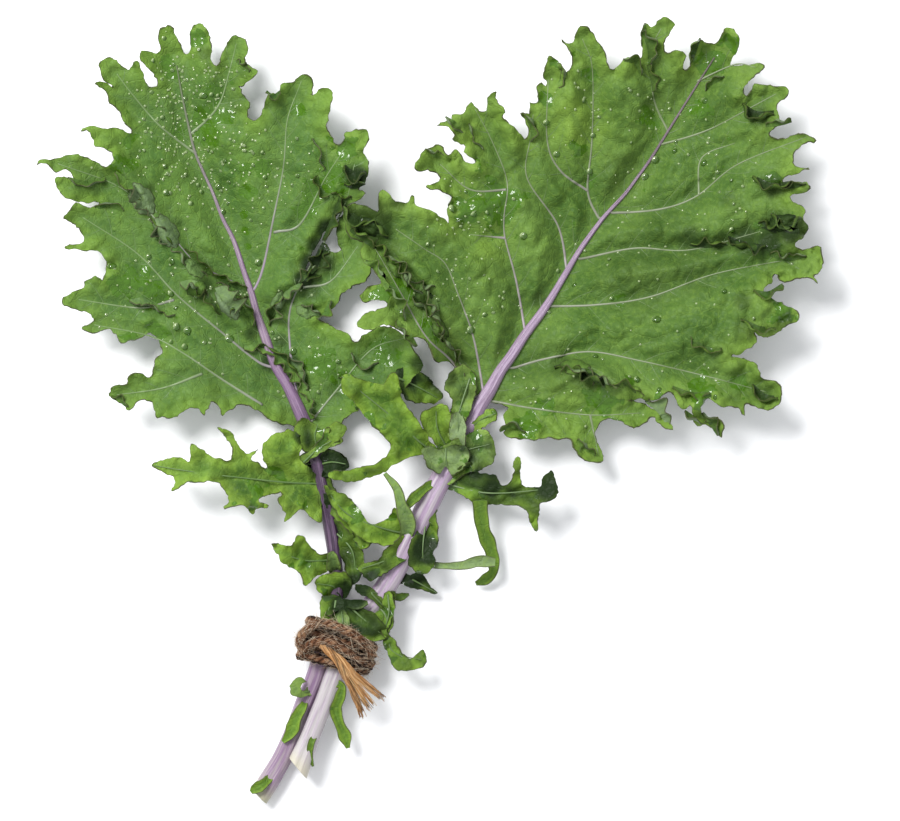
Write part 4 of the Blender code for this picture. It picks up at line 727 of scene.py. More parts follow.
def nearest_line(points, lines):
    """Distance in plan to the nearest of several lines, all as one set of segments."""
    a = np.vstack([line[:-1, :2] for line in lines])
    along = np.vstack([line[1:, :2] for line in lines]) - a
    length = np.maximum((along ** 2).sum(1), 1e-18)

    def distance(block):
        reach = block[:, None] - a[None]
        share = np.clip((reach * along).sum(2) / length, 0, 1)
        gap = reach - share[..., None] * along
        return np.sqrt((gap ** 2).sum(2).min(1))

    return in_blocks(distance, points)


def from_edge(points, ring):
    """Distance in plan to a closed ring."""
    return nearest_line(points, [np.vstack((ring, ring[:1]))])


def ruffle(points):
    """A slow wave over the plan: three crossed sines."""
    total = np.zeros(len(points))
    for length, turn, phase in RUFFLE_WAVES:
        way = np.array((np.cos(np.radians(turn)), np.sin(np.radians(turn))))
        total += np.sin(2 * np.pi * (points @ way) / (length * MM) + phase)
    return total / len(RUFFLE_WAVES)


def waves(points, length, seed, count=7):
    """Smooth irregular relief: sines in random directions near one wavelength, each bent by the last."""
    rng = np.random.default_rng(seed)
    total = np.zeros(len(points))
    bend = np.zeros(len(points))
    for turn, phase, share in rng.uniform((0, 0, 0.75), (np.pi, 2 * np.pi, 1.35), (count, 3)):
        way = points[:, 0] * np.cos(turn) + points[:, 1] * np.sin(turn)
        bend = np.sin(2 * np.pi * way / (length * share) + phase + 1.3 * bend)
        total += bend
    return total / np.sqrt(count)


def inside(points, ring):
    """Which plan points lie inside a ring: those whose level ray crosses it an odd number of times."""
    ax, ay = ring[:, 0], ring[:, 1]
    bx, by = np.roll(ax, -1), np.roll(ay, -1)
    rise = np.where(by == ay, 1e-12, by - ay)

    def odd(block):
        x, y = block[:, 0, None], block[:, 1, None]
        crosses = ((ay > y) != (by > y)) & (x < (bx - ax) * (y - ay) / rise + ax)
        return crosses.sum(1) % 2 == 1

    return in_blocks(odd, points)


def cells(points, spacing, seed):
    """Distance to the border between cells: half the gap between the two nearest seed points."""
    rng = np.random.default_rng(seed)
    low, high = points.min(0) - spacing, points.max(0) + spacing
    grid = np.stack(np.meshgrid(np.arange(low[0], high[0], spacing),
                                np.arange(low[1], high[1], spacing * HEX_ROW)), axis=2)
    grid[1::2, :, 0] += spacing / 2
    seeds = grid.reshape(-1, 2)
    seeds = seeds + rng.uniform(-0.36, 0.36, seeds.shape) * spacing

    def half_gap(block):
        two = np.partition(np.linalg.norm(block[:, None] - seeds[None], axis=2), 1, axis=1)
        return (two[:, 1] - two[:, 0]) / 2

    return in_blocks(half_gap, points)


def rooted(line, midrib):
    """A main vein carried down to the midrib, which it meets at a slant."""
    off = np.linalg.norm(midrib - line[0], axis=1)
    if off.min() > 11 * MM:
        return line
    step = np.linalg.norm(midrib[1] - midrib[0])
    at = max(0, off.argmin() - int(0.8 * off.min() / step))
    return np.vstack((midrib[at], line))


def side_veins(leaf, spacing, length, seed):
    """Second-order veins: they leave each main vein by turns on both sides and bend outwards."""
    rng = np.random.default_rng(seed)
    made = []
    steps = np.linspace(0, 1, 9)
    for line in leaf["veins"]:
        fine = smooth(line, 80)
        ahead = np.gradient(fine, axis=0)
        total = np.linalg.norm(np.diff(fine, axis=0), axis=1).sum()
        places = np.arange(0.5 * spacing, total - 0.2 * spacing, spacing / 2)
        for k, place in enumerate(places):
            at = min(79, max(0, int((place + rng.normal(0, 0.12 * spacing)) / total * 79)))
            side = 1 if k % 2 else -1
            heading = np.arctan2(ahead[at, 1], ahead[at, 0]) + side * np.radians(rng.uniform(42, 62))
            reach = length * rng.uniform(0.7, 1.15) * (1 - 0.35 * place / total)
            turn = heading - side * np.radians(rng.uniform(10, 34)) * steps
            stride = reach / (len(steps) - 1)
            way = np.column_stack((np.cos(turn), np.sin(turn))) * stride
            path = fine[at] + np.vstack(([(0, 0)], np.cumsum(way[1:], axis=0)))
            clear = nearest_line(path[3:], leaf["veins"]) > 1.6 * MM
            keep = inside(path, leaf["ring"])
            keep[3:] &= clear
            end = len(path) if keep.all() else int(np.argmin(keep))
            if end >= 4:
                made.append(smooth(path[:end], 12))
    return made


def describe_leaf(outline, stem, veins, cup, lifts, folds, relief, seed):
    """Everything the height of one blade is worked out from, in metres."""
    leaf = {
        "outline": plan(outline), "ring": rounded_ring(outline, BLADE_GRID, seed),
        "rib": in_space([row[:3] for row in stem], 90), "stem": stem, "cup": cup,
        "lifts": [(plan([(c, r)])[0], wide * PIXEL, lift * MM) for c, r, wide, lift in lifts],
        "folds": [(plan(line), lift * MM, half * MM) for line, lift, half in folds],
        "relief": relief, "seed": seed,
    }
    widths = np.array(stem, float)[:, [0, 1, 3]]
    leaf["widths"] = np.column_stack((plan(widths[:, :2]), widths[:, 2] * PIXEL))
    midrib = in_space([row[:3] for row in stem if row[1] < BLADE_ROW], 80)[:, :2]
    leaf["veins"] = [smooth(rooted(plan(line), midrib), 30) for line in veins] + [midrib]
    leaf["side_veins"] = side_veins(leaf, 12 * MM, 16 * MM, seed)
    return leaf


def blade_height(points, leaf):
    """Height over the plan: seat on the midrib, cup, quilting, lifts, folds and margin waves.

    Finer relief is added to the frame's own form: grooves over the side veins, blisters between
    them and a short frill that dies away from the margin.
    """
    rise, reach = leaf["cup"]
    away, _, seat = to_path(points, leaf["rib"])
    height = rise * MM * (1 - np.exp(-(away / (reach * MM)) ** 1.35))
    vein = np.minimum(nearest_line(points, leaf["veins"][:-1]), away)
    height += QUILT[0] * MM * (1 - np.exp(-(vein / (QUILT[1] * MM)) ** 2))
    height += 2.2 * leaf["relief"] * (1 - np.exp(-(vein / (7 * MM)) ** 2)) - 1.3 * leaf["relief"]
    for place, wide, lift in leaf["lifts"]:
        height += lift * np.exp(-(np.linalg.norm(points - place, axis=1) / wide) ** 2)
    for line, lift, half in leaf["folds"]:
        height += lift * np.exp(-(to_path(points, line)[0] / half) ** 2)
    edge = to_path(points, np.vstack((leaf["outline"], leaf["outline"][:1])))[0]
    fade = np.exp(-edge / (RUFFLE[1] * MM)) * (1 - np.exp(-(away / (8 * MM)) ** 2))
    height += RUFFLE[0] * MM * fade * ruffle(points)
    twig = nearest_line(points, leaf["side_veins"])
    puff = np.minimum(twig, cells(points, 9.5 * MM, leaf["seed"]) * 1.4)
    calm = 1 - np.exp(-(vein / (2.6 * MM)) ** 2)
    height += leaf["relief"] * calm * (1 - np.exp(-(puff / (2.6 * MM)) ** 2))
    free = 1 - np.exp(-(np.minimum(twig, vein) / (2.5 * MM)) ** 2)
    height += 0.22 * MM * free * waves(points, 7 * MM, leaf["seed"] + 1)
    height += 0.7 * MM * waves(points, 26 * MM, leaf["seed"] + 4)
    frill = 0.4 * MM + 0.75 * leaf["relief"]
    height += frill * calm * np.exp(-edge / (5 * MM)) * waves(points, 9.5 * MM, leaf["seed"] + 2)
    near = np.exp(-(away / (5 * MM)) ** 2)
    wide = to_path(points, leaf["widths"])[2]
    height = seat + (1 - near) * height + near * (RIB_SINK * wide - BLADE_THICKNESS)
    height -= 0.75 * np.maximum(height - HIGHEST, 0)
    return np.maximum(height, 0.6 * MM), away, vein, twig, edge


def triangles(ring, grid):
    """Plan points and triangles of a ring filled with a hexagonal grid of points.

    A second ring lies just inside the first, so that the dark rim has its own row of triangles.
    """
    low, high = ring.min(0), ring.max(0)
    columns = np.arange(low[0], high[0], grid)
    rows = np.arange(low[1], high[1], grid * HEX_ROW)
    shift = (np.arange(len(rows)) % 2) * grid / 2
    grid_points = np.column_stack(((columns[None] + shift[:, None]).ravel(),
                                   np.repeat(rows, len(columns))))
    grid_points = grid_points[inside(grid_points, ring)]
    grid_points = grid_points[from_edge(grid_points, ring) > 0.55 * grid + RIM_WIDTH]
    inner = ring - outward(ring) * RIM_WIDTH
    inner = inner[inside(inner, ring)]
    inner = inner[from_edge(inner, ring) > 0.8 * RIM_WIDTH]
    points = np.vstack((ring, inner, grid_points))
    edges = [(k, (k + 1) % len(ring)) for k in range(len(ring))]
    made = delaunay_2d_cdt(points.tolist(), edges, [tuple(range(len(ring)))], 1, 1e-9)
    flat = np.array([tuple(p) for p in made[0]])
    faces = np.array(made[2])
    a, b, c = (flat[faces[:, k]] for k in range(3))
    turned = (b[:, 0] - a[:, 0]) * (c[:, 1] - a[:, 1]) < (b[:, 1] - a[:, 1]) * (c[:, 0] - a[:, 0])
    faces[turned] = faces[turned][:, ::-1]
    return flat, faces


def point_normals(points, faces):
    """Unit normals at the points of a sheet: the sum of the faces' area vectors."""
    a, b, c = (points[faces[:, k]] for k in range(3))
    area = np.cross(b - a, c - a)
    total = np.zeros_like(points)
    for k in range(3):
        np.add.at(total, faces[:, k], area)
    return total / np.maximum(np.linalg.norm(total, axis=1), 1e-12)[:, None]


def thicken(points, faces, thickness, values):
    """A sheet of triangles as a closed skin: its two sides and a wall round the border.

    The value "under" is 1 on the lower side, and the other values are the same on both.
    """
    normal = point_normals(points, faces)
    count = len(points)
    verts = np.vstack((points + normal * thickness / 2, points - normal * thickness / 2))
    edges = np.vstack((faces[:, [0, 1]], faces[:, [1, 2]], faces[:, [2, 0]]))
    key = edges[:, 0] * count + edges[:, 1]
    border = edges[~np.isin(key, edges[:, 1] * count + edges[:, 0])]
    i, j = border.T
    walls = np.column_stack((i, i + count, j + count, j))
    both = {name: np.concatenate((v, v)) for name, v in values.items()}
    both["under"] = np.repeat((0.0, 1.0), count)
    return verts, [faces, faces[:, ::-1] + count, walls], both


def join(parts):
    """Several (points, faces, values) as one."""
    verts, faces, values, start = [], [], {}, 0
    for part_verts, part_faces, part_values in parts:
        verts.append(part_verts)
        faces += [np.asarray(f) + start for f in part_faces]
        for name, v in part_values.items():
            values.setdefault(name, []).append(v)
        start += len(part_verts)
    return np.vstack(verts), faces, {name: np.concatenate(v) for name, v in values.items()}


def piece(name, shape, material, replaced=None, sharp=None):
    """A finished piece: whole arrays put into a mesh, smooth shaded, on the bunch's one body."""
    verts, faces, values = shape
    mesh = bpy.data.meshes.new(name)
    loops = np.concatenate([np.asarray(f).ravel() for f in faces]).astype(np.int32)
    sizes = np.concatenate([np.full(len(f), np.asarray(f).shape[1]) for f in faces])
    mesh.vertices.add(len(verts))
    mesh.vertices.foreach_set("co", np.asarray(verts, np.float32).ravel())
    mesh.loops.add(len(loops))
    mesh.loops.foreach_set("vertex_index", loops)
    mesh.polygons.add(len(sizes))
    mesh.polygons.foreach_set("loop_start", np.concatenate(([0], np.cumsum(sizes)[:-1])).astype(np.int32))
    mesh.update(calc_edges=True)
    mesh.validate()
    for key, v in values.items():
        kind = "FLOAT_VECTOR" if np.ndim(v) == 2 else "FLOAT"
        layer = mesh.attributes.new(key, kind, "POINT")
        layer.data.foreach_set("vector" if kind == "FLOAT_VECTOR" else "value",
                               np.asarray(v, np.float32).ravel())
    mesh.shade_smooth()
    if sharp:
        mesh.set_sharp_from_angle(angle=np.radians(sharp))
    thing = bpy.data.objects.new(name, mesh)
    bpy.context.collection.objects.link(thing)
    mesh.materials.append(material)
    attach(thing, "root")
    if replaced:
        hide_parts(replaced)
    return thing


def frames(line):
    """Unit vectors ahead, across and up along a line, carried from station to station."""
    ahead = np.gradient(line, axis=0)
    ahead /= np.linalg.norm(ahead, axis=1)[:, None]
    across = np.zeros_like(line)
    side = np.cross(ahead[0], (0.1, 0.2, 1.0))
    for k, way in enumerate(ahead):
        side = side - way * (side @ way)
        side /= np.linalg.norm(side)
        across[k] = side
    return ahead, across, np.cross(across, ahead)


def level_frames(line):
    """Unit vectors along a line: ahead, level across it, and up from both."""
    ahead = np.gradient(line, axis=0)
    ahead /= np.linalg.norm(ahead, axis=1)[:, None]
    across = np.cross((0, 0, 1), ahead)
    across /= np.linalg.norm(across, axis=1)[:, None]
    return ahead, across, np.cross(ahead, across)


def grid_quads(rows, sides, closed=True):
    """Quads between the rows of a grid of points numbered row by row, where closed rows are rings."""
    k, s = np.meshgrid(np.arange(rows - 1), np.arange(sides if closed else sides - 1), indexing="ij")
    i, j = (k * sides + s).ravel(), (k * sides + (s + 1) % sides).ravel()
    return np.column_stack((i, j, j + sides, i + sides))


def tubes(lines, radii, sides, values=None):
    """Many round tubes at once: rings about lines (tubes x stations x 3), with closed ends."""
    lines = np.asarray(lines, float)
    count, stations = lines.shape[:2]
    ahead = np.gradient(lines, axis=1)
    ahead /= np.maximum(np.linalg.norm(ahead, axis=2), 1e-12)[..., None]
    lean = np.where(np.abs(ahead[..., 2:]) > 0.9, (1.0, 0.0, 0.0), (0.0, 0.0, 1.0))
    across = np.cross(lean, ahead)
    across /= np.linalg.norm(across, axis=2)[..., None]
    up = np.cross(ahead, across)
    turn = np.arange(sides) * 2 * np.pi / sides
    ring = (np.cos(turn)[:, None] * across[:, :, None] + np.sin(turn)[:, None] * up[:, :, None])
    radii = np.broadcast_to(np.asarray(radii, float), (count, stations))
    verts = (lines[:, :, None] + ring * radii[..., None, None]).reshape(-1, 3)
    start = np.arange(count)[:, None] * stations * sides
    walls = (grid_quads(stations, sides)[None] + start[..., None]).reshape(-1, 4)
    first = start + np.arange(sides)[::-1]
    last = start + (stations - 1) * sides + np.arange(sides)
    spread = {}
    for name, v in (values or {}).items():
        v = np.broadcast_to(np.asarray(v, float), (count, stations))
        spread[name] = np.repeat(v[..., None], sides, axis=2).ravel()
    return verts, [walls, first, last], spread


class Paint:
    """A material's nodes: each method adds a node and gives back the socket to read."""

    def __init__(self, name, roughness):
        """A new material with a Principled BSDF of this roughness."""
        self.material = bpy.data.materials.new(name)
        self.material.use_nodes = True
        self.nodes = self.material.node_tree.nodes
        self.shader = self.nodes["Principled BSDF"].inputs
        self.shader["Roughness"].default_value = roughness

    def put(self, socket, given):
        """Link a socket to another, or set its number or its colour."""
        if hasattr(given, "is_linked"):
            self.material.node_tree.links.new(given, socket)
        else:
            socket.default_value = (*given, 1) if isinstance(given, tuple) else given

    def place(self):
        """The object's own coordinates, in metres."""
        return self.nodes.new("ShaderNodeTexCoord").outputs["Object"]

    def value(self, name, output="Fac"):
        """A value stored at the mesh's points."""
        node = self.nodes.new("ShaderNodeAttribute")
        node.attribute_name = name
        return node.outputs[output]

    def mix(self, share, first, second):
        """The first colour at share 0, the second at 1."""
        node = self.nodes.new("ShaderNodeMix")
        node.data_type = "RGBA"
        for socket, given in ((0, share), (6, first), (7, second)):
            self.put(node.inputs[socket], given)
        return node.outputs[2]

    def ranged(self, source, low, high, to_low=0.0, to_high=1.0):
        """A value carried smoothly from one range to another and held at its ends."""
        node = self.nodes.new("ShaderNodeMapRange")
        node.interpolation_type = "SMOOTHSTEP"
        for socket, given in enumerate((source, low, high, to_low, to_high)):
            self.put(node.inputs[socket], given)
        return node.outputs[0]

    def maths(self, kind, first, second):
        """Two values put together: their ADD, SUBTRACT or MULTIPLY."""
        node = self.nodes.new("ShaderNodeMath")
        node.operation = kind
        for socket, given in enumerate((first, second)):
            self.put(node.inputs[socket], given)
        return node.outputs[0]

    def weighed(self, first, first_share, second, second_share=None):
        """Two values added, each times its share."""
        second = second if second_share is None else self.maths("MULTIPLY", second, second_share)
        return self.maths("ADD", self.maths("MULTIPLY", first, first_share), second)

    def noise(self, source, scale, detail=2.0, output="Fac"):
        """Cloudy noise from 0 to 1, with so many patches a metre."""
        node = self.nodes.new("ShaderNodeTexNoise")
        node.inputs["Scale"].default_value = scale
        node.inputs["Detail"].default_value = detail
        self.put(node.inputs["Vector"], source)
        return node.outputs[output]

    def net(self, source, scale, width):
        """Thin lines between cells: a Voronoi's distance to its edges, 1 on the line."""
        node = self.nodes.new("ShaderNodeTexVoronoi")
        node.feature = "DISTANCE_TO_EDGE"
        node.inputs["Scale"].default_value = scale
        self.put(node.inputs["Vector"], source)
        return self.ranged(node.outputs["Distance"], 0.0, width, 1.0, 0.0)

    def wobbled(self, source, scale, size):
        """Coordinates pushed about by noise, so that a net drawn on them isn't regular."""
        push = self.nodes.new("ShaderNodeVectorMath")
        push.operation = "MULTIPLY_ADD"
        self.put(push.inputs[0], self.noise(source, scale, output="Color"))
        push.inputs[1].default_value = (size, size, size)
        self.put(push.inputs[2], source)
        return push.outputs[0]

    def bump(self, normal, height, strength, distance):
        """The shader's normal, or its coat's, tilted by a height."""
        node = self.nodes.new("ShaderNodeBump")
        node.inputs["Strength"].default_value = strength
        node.inputs["Distance"].default_value = distance
        self.put(node.inputs["Height"], height)
        self.put(self.shader[normal], node.outputs["Normal"])


def leaf_material(name, middle, light, dark, near_vein, below):
    """Leaf skin: patchy green, paler margin and net of veins, dark rim, pale underside, wet gloss.

    The film of water is a coat where wet places meet cloudy noise, with ripples of its own. The value
    "pale" lightens the skin as painted light together with yellower skin, and the value "shade"
    darkens it as painted shade.
    """
    paint = Paint(name, 0.5)
    place = paint.place()
    speck = paint.noise(place, 520.0, 3.0)
    colour = paint.mix(paint.ranged(paint.noise(place, 42.0, 5.0), 0.36, 0.62), dark, middle)
    colour = paint.mix(paint.ranged(paint.value("edge"), 0.0, 1.0, 0.6, 0.0), colour, light)
    # Painted light, with yellower skin, by the value "pale".
    colour = paint.mix(paint.ranged(paint.value("pale"), 0.0, 1.0, 0.0, 0.9), colour, light)
    colour = paint.mix(paint.ranged(paint.value("vein"), 0.0, 1.0, 0.0, 0.55), colour, near_vein)
    bent = paint.wobbled(place, 160.0, 0.004)
    coarse = paint.net(bent, 150.0, 0.05)
    fine = paint.net(bent, 460.0, 0.08)
    colour = paint.mix(paint.weighed(coarse, 0.16, fine, 0.12), colour, NET_GREEN)
    colour = paint.mix(paint.maths("MULTIPLY", paint.value("under"), 0.85), colour, below)
    colour = paint.mix(paint.ranged(speck, 0.45, 0.75, 0.0, 0.30), colour, light)
    colour = paint.mix(paint.ranged(speck, 0.45, 0.25, 0.0, 0.30), colour, dark)
    blot = paint.noise(place, 170.0)
    film = paint.ranged(paint.weighed(paint.value("wet"), 0.5, blot), 0.73, 0.78)
    colour = paint.mix(paint.maths("MULTIPLY", film, 0.9), colour, WET_GREEN)
    colour = paint.mix(paint.ranged(paint.value("rim"), 0.2, 0.9, 0.0, 0.75), colour, RIM_BROWN)
    # Painted shade by the value "shade".
    colour = paint.mix(paint.ranged(paint.value("shade"), 0.0, 1.0), colour, SHADE_GREEN)
    paint.put(paint.shader["Base Color"], colour)
    paint.shader["Specular IOR Level"].default_value = 0.12
    paint.put(paint.shader["Coat Weight"], film)
    paint.shader["Coat Roughness"].default_value = 0.06
    paint.shader["Coat IOR"].default_value = 1.38
    relief = paint.weighed(speck, 0.8, paint.weighed(coarse, -0.3, fine, -0.25))
    paint.bump("Normal", relief, 0.7, 0.7 * MM)
    swing = paint.maths("SUBTRACT", paint.noise(place, 230.0, 1.0), 0.15)
    paint.bump("Coat Normal", paint.maths("MULTIPLY", swing, film), 1.0, 1.7 * MM)
    return paint.material


def vein_material(name, young, old):
    """Veins: tinted near the petiole, pale green farther out, and leaf green in the finest.

    The value "tint" is 1 at the petiole, 0 at the ends and below nought in the fine side veins.
    """
    paint = Paint(name, 0.42)
    tint = paint.value("tint")
    colour = paint.mix(paint.ranged(tint, 0.0, 1.0), young, old)
    colour = paint.mix(paint.ranged(tint, 0.0, -1.0), colour, FINE_VEIN_GREEN)
    patch = paint.noise(paint.place(), 300.0)
    colour = paint.mix(paint.ranged(patch, 0.4, 0.7, 0.0, 0.3), colour, young)
    paint.put(paint.shader["Base Color"], colour)
    return paint.material


def stem_material(name, pale, middle, deep, tip, cut):
    """Petiole: streaks along its length, from pale through middle to deep by the value "deep".

    It turns to the leaf's own tint by the value "tip", and is creamy at its cut end.
    """
    paint = Paint(name, 0.36)
    strand = paint.value("strand", "Vector")
    streak = paint.noise(strand, 4.0, 4.0)
    fine = paint.noise(strand, 13.0, 3.0)
    tone = paint.maths("ADD", paint.ranged(streak, 0.3, 0.7, -0.22, 0.22), paint.value("deep"))
    colour = paint.mix(paint.ranged(tone, 0.0, 0.5), pale, middle)
    colour = paint.mix(paint.ranged(tone, 0.5, 1.0), colour, deep)
    colour = paint.mix(paint.ranged(fine, 0.5, 0.8, 0.0, 0.35), colour, pale)
    colour = paint.mix(paint.value("tip"), colour, tip)
    colour = paint.mix(paint.value("cut"), colour, cut)
    paint.put(paint.shader["Base Color"], colour)
    paint.bump("Normal", paint.maths("ADD", streak, fine), 0.5, 0.4 * MM)
    return paint.material


def fibre_material(name, dark, middle, pale, roughness=0.85):
    """Bast fibre with streaks along each strand. The value "tone" makes it paler, at random on hairs and
    loose fibres and as a painted highlight on the plies. The value "deep" makes it near black, as
    painted shade in the twine's creases and at random on some loose fibres.
    """
    paint = Paint(name, roughness)
    streak = paint.noise(paint.value("strand", "Vector"), 3.0, 4.0)
    colour = paint.mix(paint.ranged(streak, 0.3, 0.62), dark, middle)
    colour = paint.mix(paint.ranged(paint.value("tone"), 0.0, 1.0, 0.0, 0.8), colour, pale)
    colour = paint.mix(paint.value("deep"), colour, CREASE_BROWN)
    paint.put(paint.shader["Base Color"], colour)
    paint.shader["Specular IOR Level"].default_value = 0.2
    paint.bump("Normal", streak, 0.9, 0.6 * MM)
    return paint.material


def water_material():
    """Drops of water: glossy and half see-through, with painted light by the value "small": the tiniest are
    lit up in place of their highlights, and each drop's side away from the lamp as a caustic.
    """
    paint = Paint("water", 0.05)
    # Painted light: the value "small" mixes in a pale green that stands for highlights and a caustic.
    colour = paint.mix(paint.value("small"), (0.042, 0.110, 0.006), (0.56, 0.67, 0.36))
    paint.put(paint.shader["Base Color"], colour)
    paint.shader["Alpha"].default_value = 0.62
    paint.shader["IOR"].default_value = 1.7
    return paint.material


def skin_values(count, **given):
    """The values that the leaf material reads at each point, nought where they aren't given."""
    names = ("edge", "rim", "vein", "wet", "shade", "pale")
    return {name: np.zeros(count) + given.get(name, 0.0) for name in names}


def patches(points, places, power=2):
    """Soft round patches (column, row, reach in columns, strength) over the plan, the strongest kept."""
    total = np.zeros(len(points))
    for column, row, reach, *strength in places:
        off = np.linalg.norm(points - plan([(column, row)])[0], axis=1) / (reach * PIXEL)
        total = np.maximum(total, (strength or [1.0])[0] * np.exp(-0.7 * off ** power))
    return total


def blade(name, leaf, wet_places, shade_places, pale_places, material, node):
    """A leaf blade: the height over a fine hexagonal net of plan points, as a thin closed skin."""
    flat, faces = triangles(leaf["ring"], BLADE_GRID)
    height, _, vein, twig, edge = blade_height(flat, leaf)
    # Painted shade at the shade places; painted light, with yellower skin, at the pale places.
    values = skin_values(
        len(flat), edge=np.clip(edge / (9 * MM), 0, 1), rim=from_edge(flat, leaf["ring"]) < ON_RING,
        vein=np.exp(-np.minimum(vein, 1.8 * twig) / (4.5 * MM)), wet=patches(flat, wet_places),
        shade=patches(flat, shade_places, 4), pale=patches(flat, pale_places))
    shape = thicken(np.column_stack((flat, height)), faces, BLADE_THICKNESS, values)
    return piece(name, shape, material, node, sharp=70)


def vein_tubes(name, leaf, thick, tints, material):
    """Veins proud of the skin: tubes that thin out along lines over the blade, sunk half in it.

    Each main vein has its own tint where it leaves the midrib.
    """
    stations = 90
    main = np.array([smooth(line, stations) for line in leaf["veins"][:-1]])
    size = np.linspace(1, 0.40, stations)[None] ** 1.4 * thick * np.ones((len(main), 1))
    fading = np.array(tints)[:, None] * np.linspace(1, 0, stations)[None] ** 1.4
    side = np.array(leaf["side_veins"])
    side_size = np.linspace(*SIDE_VEIN_RADII, side.shape[1])[None] * np.ones((len(side), 1))
    parts = []
    for lines, radii, tint in ((main, size, fading), (side, side_size, SIDE_VEIN_TINT)):
        height = blade_height(lines.reshape(-1, 2), leaf)[0].reshape(lines.shape[:2])
        height = height + BLADE_THICKNESS / 2 - 0.42 * radii
        parts.append(tubes(np.dstack((lines, height)), radii, VEIN_SIDES, {"tint": tint}))
    return piece(name, join(parts), material)


def stem(name, rows, slant, tones, material, slot, node, ridge_seed):
    """A petiole that thins into a midrib: an oval with a groove on top, fine ridges and a cut end.

    Each ring's radius is the half width times one less the groove, plus ridges, times slow lumps.
    The cut end is five ever smaller rings, dished in the middle.
    """
    stations, sides = STEM_STATIONS, STEM_SIDES
    line = in_space(rows, stations)
    ahead, across, up = level_frames(line[:, :3])
    row = CENTRE_ROW - line[:, 1] / PIXEL
    half = line[:, 3] * PIXEL / 2 * np.interp(row, (60, 200, 430), (0.55, 0.72, 1.0))
    turn = np.arange(sides) * 2 * np.pi / sides + np.pi / 2
    from_top = np.minimum(turn - np.pi / 2, 2.5 * np.pi - turn)
    groove = 1 - GROOVE_DEPTH * np.exp(-(from_top / GROOVE_WIDTH) ** 2)
    ridges = 0.022 * np.cos(9 * turn + ridge_seed) + 0.012 * np.cos(17 * turn)
    along = np.arange(stations) * 1.1 * MM
    lumps = 0.02 * np.sin(along / (9 * MM) + ridge_seed) + 0.015 * np.sin(along / (4.1 * MM))
    radius = (groove + ridges)[None] * (1 + lumps)[:, None] * half[:, None]
    shear = slant * np.exp(-np.arange(stations) / 12.0)
    flat = radius * np.cos(turn)
    tall = radius * np.sin(turn) * STEM_FLATNESS
    verts = (line[:, None, :3] + flat[..., None] * across[:, None] + tall[..., None] * up[:, None]
             + (shear[:, None] * flat)[..., None] * ahead[:, None])
    strand = np.empty((stations, sides, 3))
    strand[..., 0], strand[..., 1], strand[..., 2] = np.cos(turn), np.sin(turn), along[:, None] * 9
    strand = strand.reshape(-1, 3)
    marks, deeps, tips = np.array(tones, float)[::-1].T
    values = {
        "strand": strand, "cut": np.repeat(0.7 * np.exp(-(np.arange(stations) / 6.0) ** 2), sides),
        "deep": np.repeat(np.interp(row, marks, deeps), sides),
        "tip": np.repeat(np.interp(row, marks, tips), sides),
    }
    far_end = ((stations - 1) * sides + np.arange(sides))[None]
    body = (verts.reshape(-1, 3), [grid_quads(stations, sides), far_end], values)
    shares = np.array((1.0, 0.9, 0.78, 0.55, 0.3))
    centre = verts[0].mean(0)
    dip = np.array((0.0, -0.1, 0.25, 0.45, 0.5))[:, None, None] * MM
    rings = centre + shares[:, None, None] * (verts[0] - centre)[None] + dip * ahead[0]
    cap_faces = [grid_quads(5, sides)[:, [0, 3, 2, 1]], (4 * sides + np.arange(sides)[::-1])[None]]
    cap_values = {"strand": np.tile(strand[:sides], (5, 1)) * shares.repeat(sides)[:, None],
                  "deep": np.full(5 * sides, deeps[-1]), "tip": np.zeros(5 * sides),
                  "cut": np.repeat((0.55, 0.8, 0.95, 1.0, 1.0), sides)}
    cap = (rings.reshape(-1, 3), cap_faces, cap_values)
    return piece(name, join([body, cap]), material, node, sharp=50)


def shaded(points, dark, wave=0.0):
    """Painted shade on leaflets over the plan: their own tone, a wave and the shade places, less at the pale
    places.
    """
    total = dark + wave + patches(points, LEAFLET_SHADE, 4)
    return np.clip(total - patches(points, LEAFLET_PALE), 0, 1)


def leaflet(outline, rib, cup, slope, tone, seed):
    """A small cut leaf over its own rib: it rises from the rib, leans, and frills at its margin.

    The rise is the cup times the squared distance from the rib. Slanted beads between its side
    veins and two slow waves are added, all of which fade out at the root.
    """
    ring = rounded_ring(outline, 0.8 * LEAFLET_GRID)
    flat, faces = triangles(ring, LEAFLET_GRID)
    dark, pale = tone
    line = in_space(rib, RIB_STATIONS)
    away, side, seat = to_path(flat, line)
    along = to_path(flat, np.column_stack((line[:, :2], run_along(line))))[2]
    height = seat + cup * np.minimum(away, CUP_END) ** 2 / MM + slope * side * away
    edge = from_edge(flat, ring)
    root = np.linalg.norm(flat - line[0, :2], axis=1)
    free = 1 - np.exp(-(root / (6 * MM)) ** 2)
    height += 1.5 * MM * free * np.exp(-edge / (4.5 * MM)) * waves(flat, 15 * MM, seed)
    height += 1.2 * MM * free * waves(flat, 20 * MM, seed + 1) - 0.6 * MM * np.exp(-away / (1.2 * MM))
    slanted = np.abs(np.sin(np.pi * (along - 0.75 * away + 1.5 * MM * side) / (6.5 * MM)))
    bead = 1 - np.exp(-(slanted / 0.25) ** 2)
    height += 0.30 * MM * free * (1 - np.exp(-(away / (2.5 * MM)) ** 2)) * bead
    # Painted shade from the tone, a wave and the shade places; painted light, with paler skin, at the pale
    # places.
    values = skin_values(
        len(flat), edge=np.clip(edge / (6 * MM), 0, 1), rim=edge < ON_RING,
        vein=np.maximum(np.exp(-away / (2 * MM)), 0.5 * (1 - bead)),
        wet=np.clip(LEAFLET_WET + 0.35 * waves(flat, 16 * MM, seed + 2), 0, 0.7),
        shade=shaded(flat, dark, 0.22 * waves(flat, 20 * MM, seed + 6)), pale=patches(flat, LEAFLET_PALE))
    points = np.column_stack((flat, np.maximum(height, LOWEST)))
    points, faces, values = thicken(points, faces, LEAFLET_THICKNESS, values)
    values["under"] = np.maximum(values["under"], pale)
    return (points, faces, values), line


